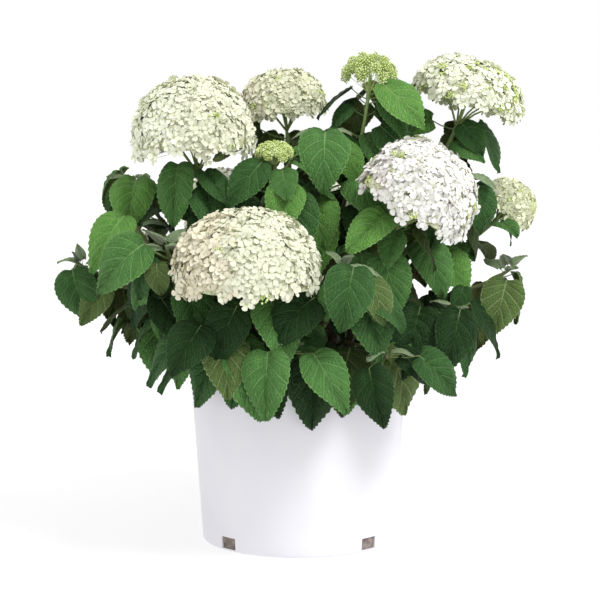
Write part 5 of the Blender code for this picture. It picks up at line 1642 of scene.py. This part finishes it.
thin = np.vstack(bud_rays)
threads = tubes(thin, np.full(thin.shape[:2], BUD_STALK_RADIUS), PEDICEL_SIDES)
green_buds = mesh_piece("green_buds", *beads, bud_green.material, soft_up_to=80)
bud_stalks = mesh_piece("bud_stalks", *threads, bud_green.material, soft_up_to=70)
for piece in (green_buds, bud_stalks):
    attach(piece, "root")


# ---------------------------------------------------------------- floor, light and camera
# A pale floor that fades into a white surround, which lights the plant from all sides, and
# a broad soft key from the upper right.
FLOOR_HALF = 60.0
FLOOR_GRAY = (0.27, 0.27, 0.27)
FLOOR_GLOW = 0.76
WHITE = (1.0, 1.0, 1.0, 1.0)
KEY_FROM = (0.75, -0.70, 1.20)
KEY_SPREAD = 18             # degrees
KEY_POWER = 1.9
LEFT_STRENGTH = 0.30        # of the surround, which is dimmer far to the left
RIGHT_STRENGTH = 0.75       # and a little dimmer far to the right
FADE_START = 0.35           # of the way to the far left and right
WHITE_BAND = (0.12, 0.40)   # but stays white near the horizon
EYE = (0.0, -2.2, 0.512)
EYE_PITCH = math.radians(5.34)
EYE_LENS = 103.68
EYE_SHIFT = 0.0025

floor_mesh = bpy.data.meshes.new("floor")
floor_mesh.from_pydata([(-FLOOR_HALF, -FLOOR_HALF, 0), (FLOOR_HALF, -FLOOR_HALF, 0),
                        (FLOOR_HALF, FLOOR_HALF, 0), (-FLOOR_HALF, FLOOR_HALF, 0)], [], [(0, 1, 2, 3)])
floor_mesh.materials.append(Finish("white_floor", FLOOR_GRAY, 0.9, Specular_IOR_Level=0.0,
                                   Emission_Color=WHITE, Emission_Strength=FLOOR_GLOW).material)
floor = bpy.data.objects.new("floor", floor_mesh)
bpy.context.scene.collection.objects.link(floor)

world = bpy.data.worlds.new("white_surround")
world.use_nodes = True
nodes, links = world.node_tree.nodes, world.node_tree.links
heading = nodes.new("ShaderNodeSeparateXYZ")
links.new(nodes.new("ShaderNodeTexCoord").outputs["Generated"], heading.inputs[0])
dimmest = nodes.new("ShaderNodeMath")
dimmest.operation = "MINIMUM"
banded = nodes.new("ShaderNodeMath")
banded.operation = "MAXIMUM"
fades = (("X", -FADE_START, -1.0, LEFT_STRENGTH, dimmest, 0),
         ("X", FADE_START, 1.0, RIGHT_STRENGTH, dimmest, 1),
         ("Z", *WHITE_BAND, LEFT_STRENGTH, banded, 1))
for axis, start, end, strength, target, slot in fades:
    fade = nodes.new("ShaderNodeMapRange")
    for socket, value in (("From Min", start), ("From Max", end), ("To Min", 1.0), ("To Max", strength)):
        fade.inputs[socket].default_value = value
    links.new(heading.outputs[axis], fade.inputs["Value"])
    links.new(fade.outputs["Result"], target.inputs[slot])
links.new(dimmest.outputs[0], banded.inputs[0])
links.new(banded.outputs[0], nodes["Background"].inputs["Strength"])
nodes["Background"].inputs["Color"].default_value = WHITE
bpy.context.scene.world = world

sun = bpy.data.lights.new("key", "SUN")
sun.angle = math.radians(KEY_SPREAD)
sun.energy = KEY_POWER
key = bpy.data.objects.new("key", sun)
key.rotation_euler = (math.atan2(math.hypot(*KEY_FROM[:2]), KEY_FROM[2]), 0.0,
                      math.atan2(KEY_FROM[1], KEY_FROM[0]) + math.pi / 2)
bpy.context.scene.collection.objects.link(key)

camera = bpy.data.objects.new("camera", bpy.data.cameras.new("camera"))
camera.data.sensor_width = 36.0
camera.data.lens = EYE_LENS
camera.data.shift_x = EYE_SHIFT
camera.location = EYE
camera.rotation_euler = (math.pi / 2 - EYE_PITCH, 0.0, 0.0)
bpy.context.scene.collection.objects.link(camera)
bpy.context.scene.camera = camera
bpy.context.scene.view_settings.view_transform = "Standard"
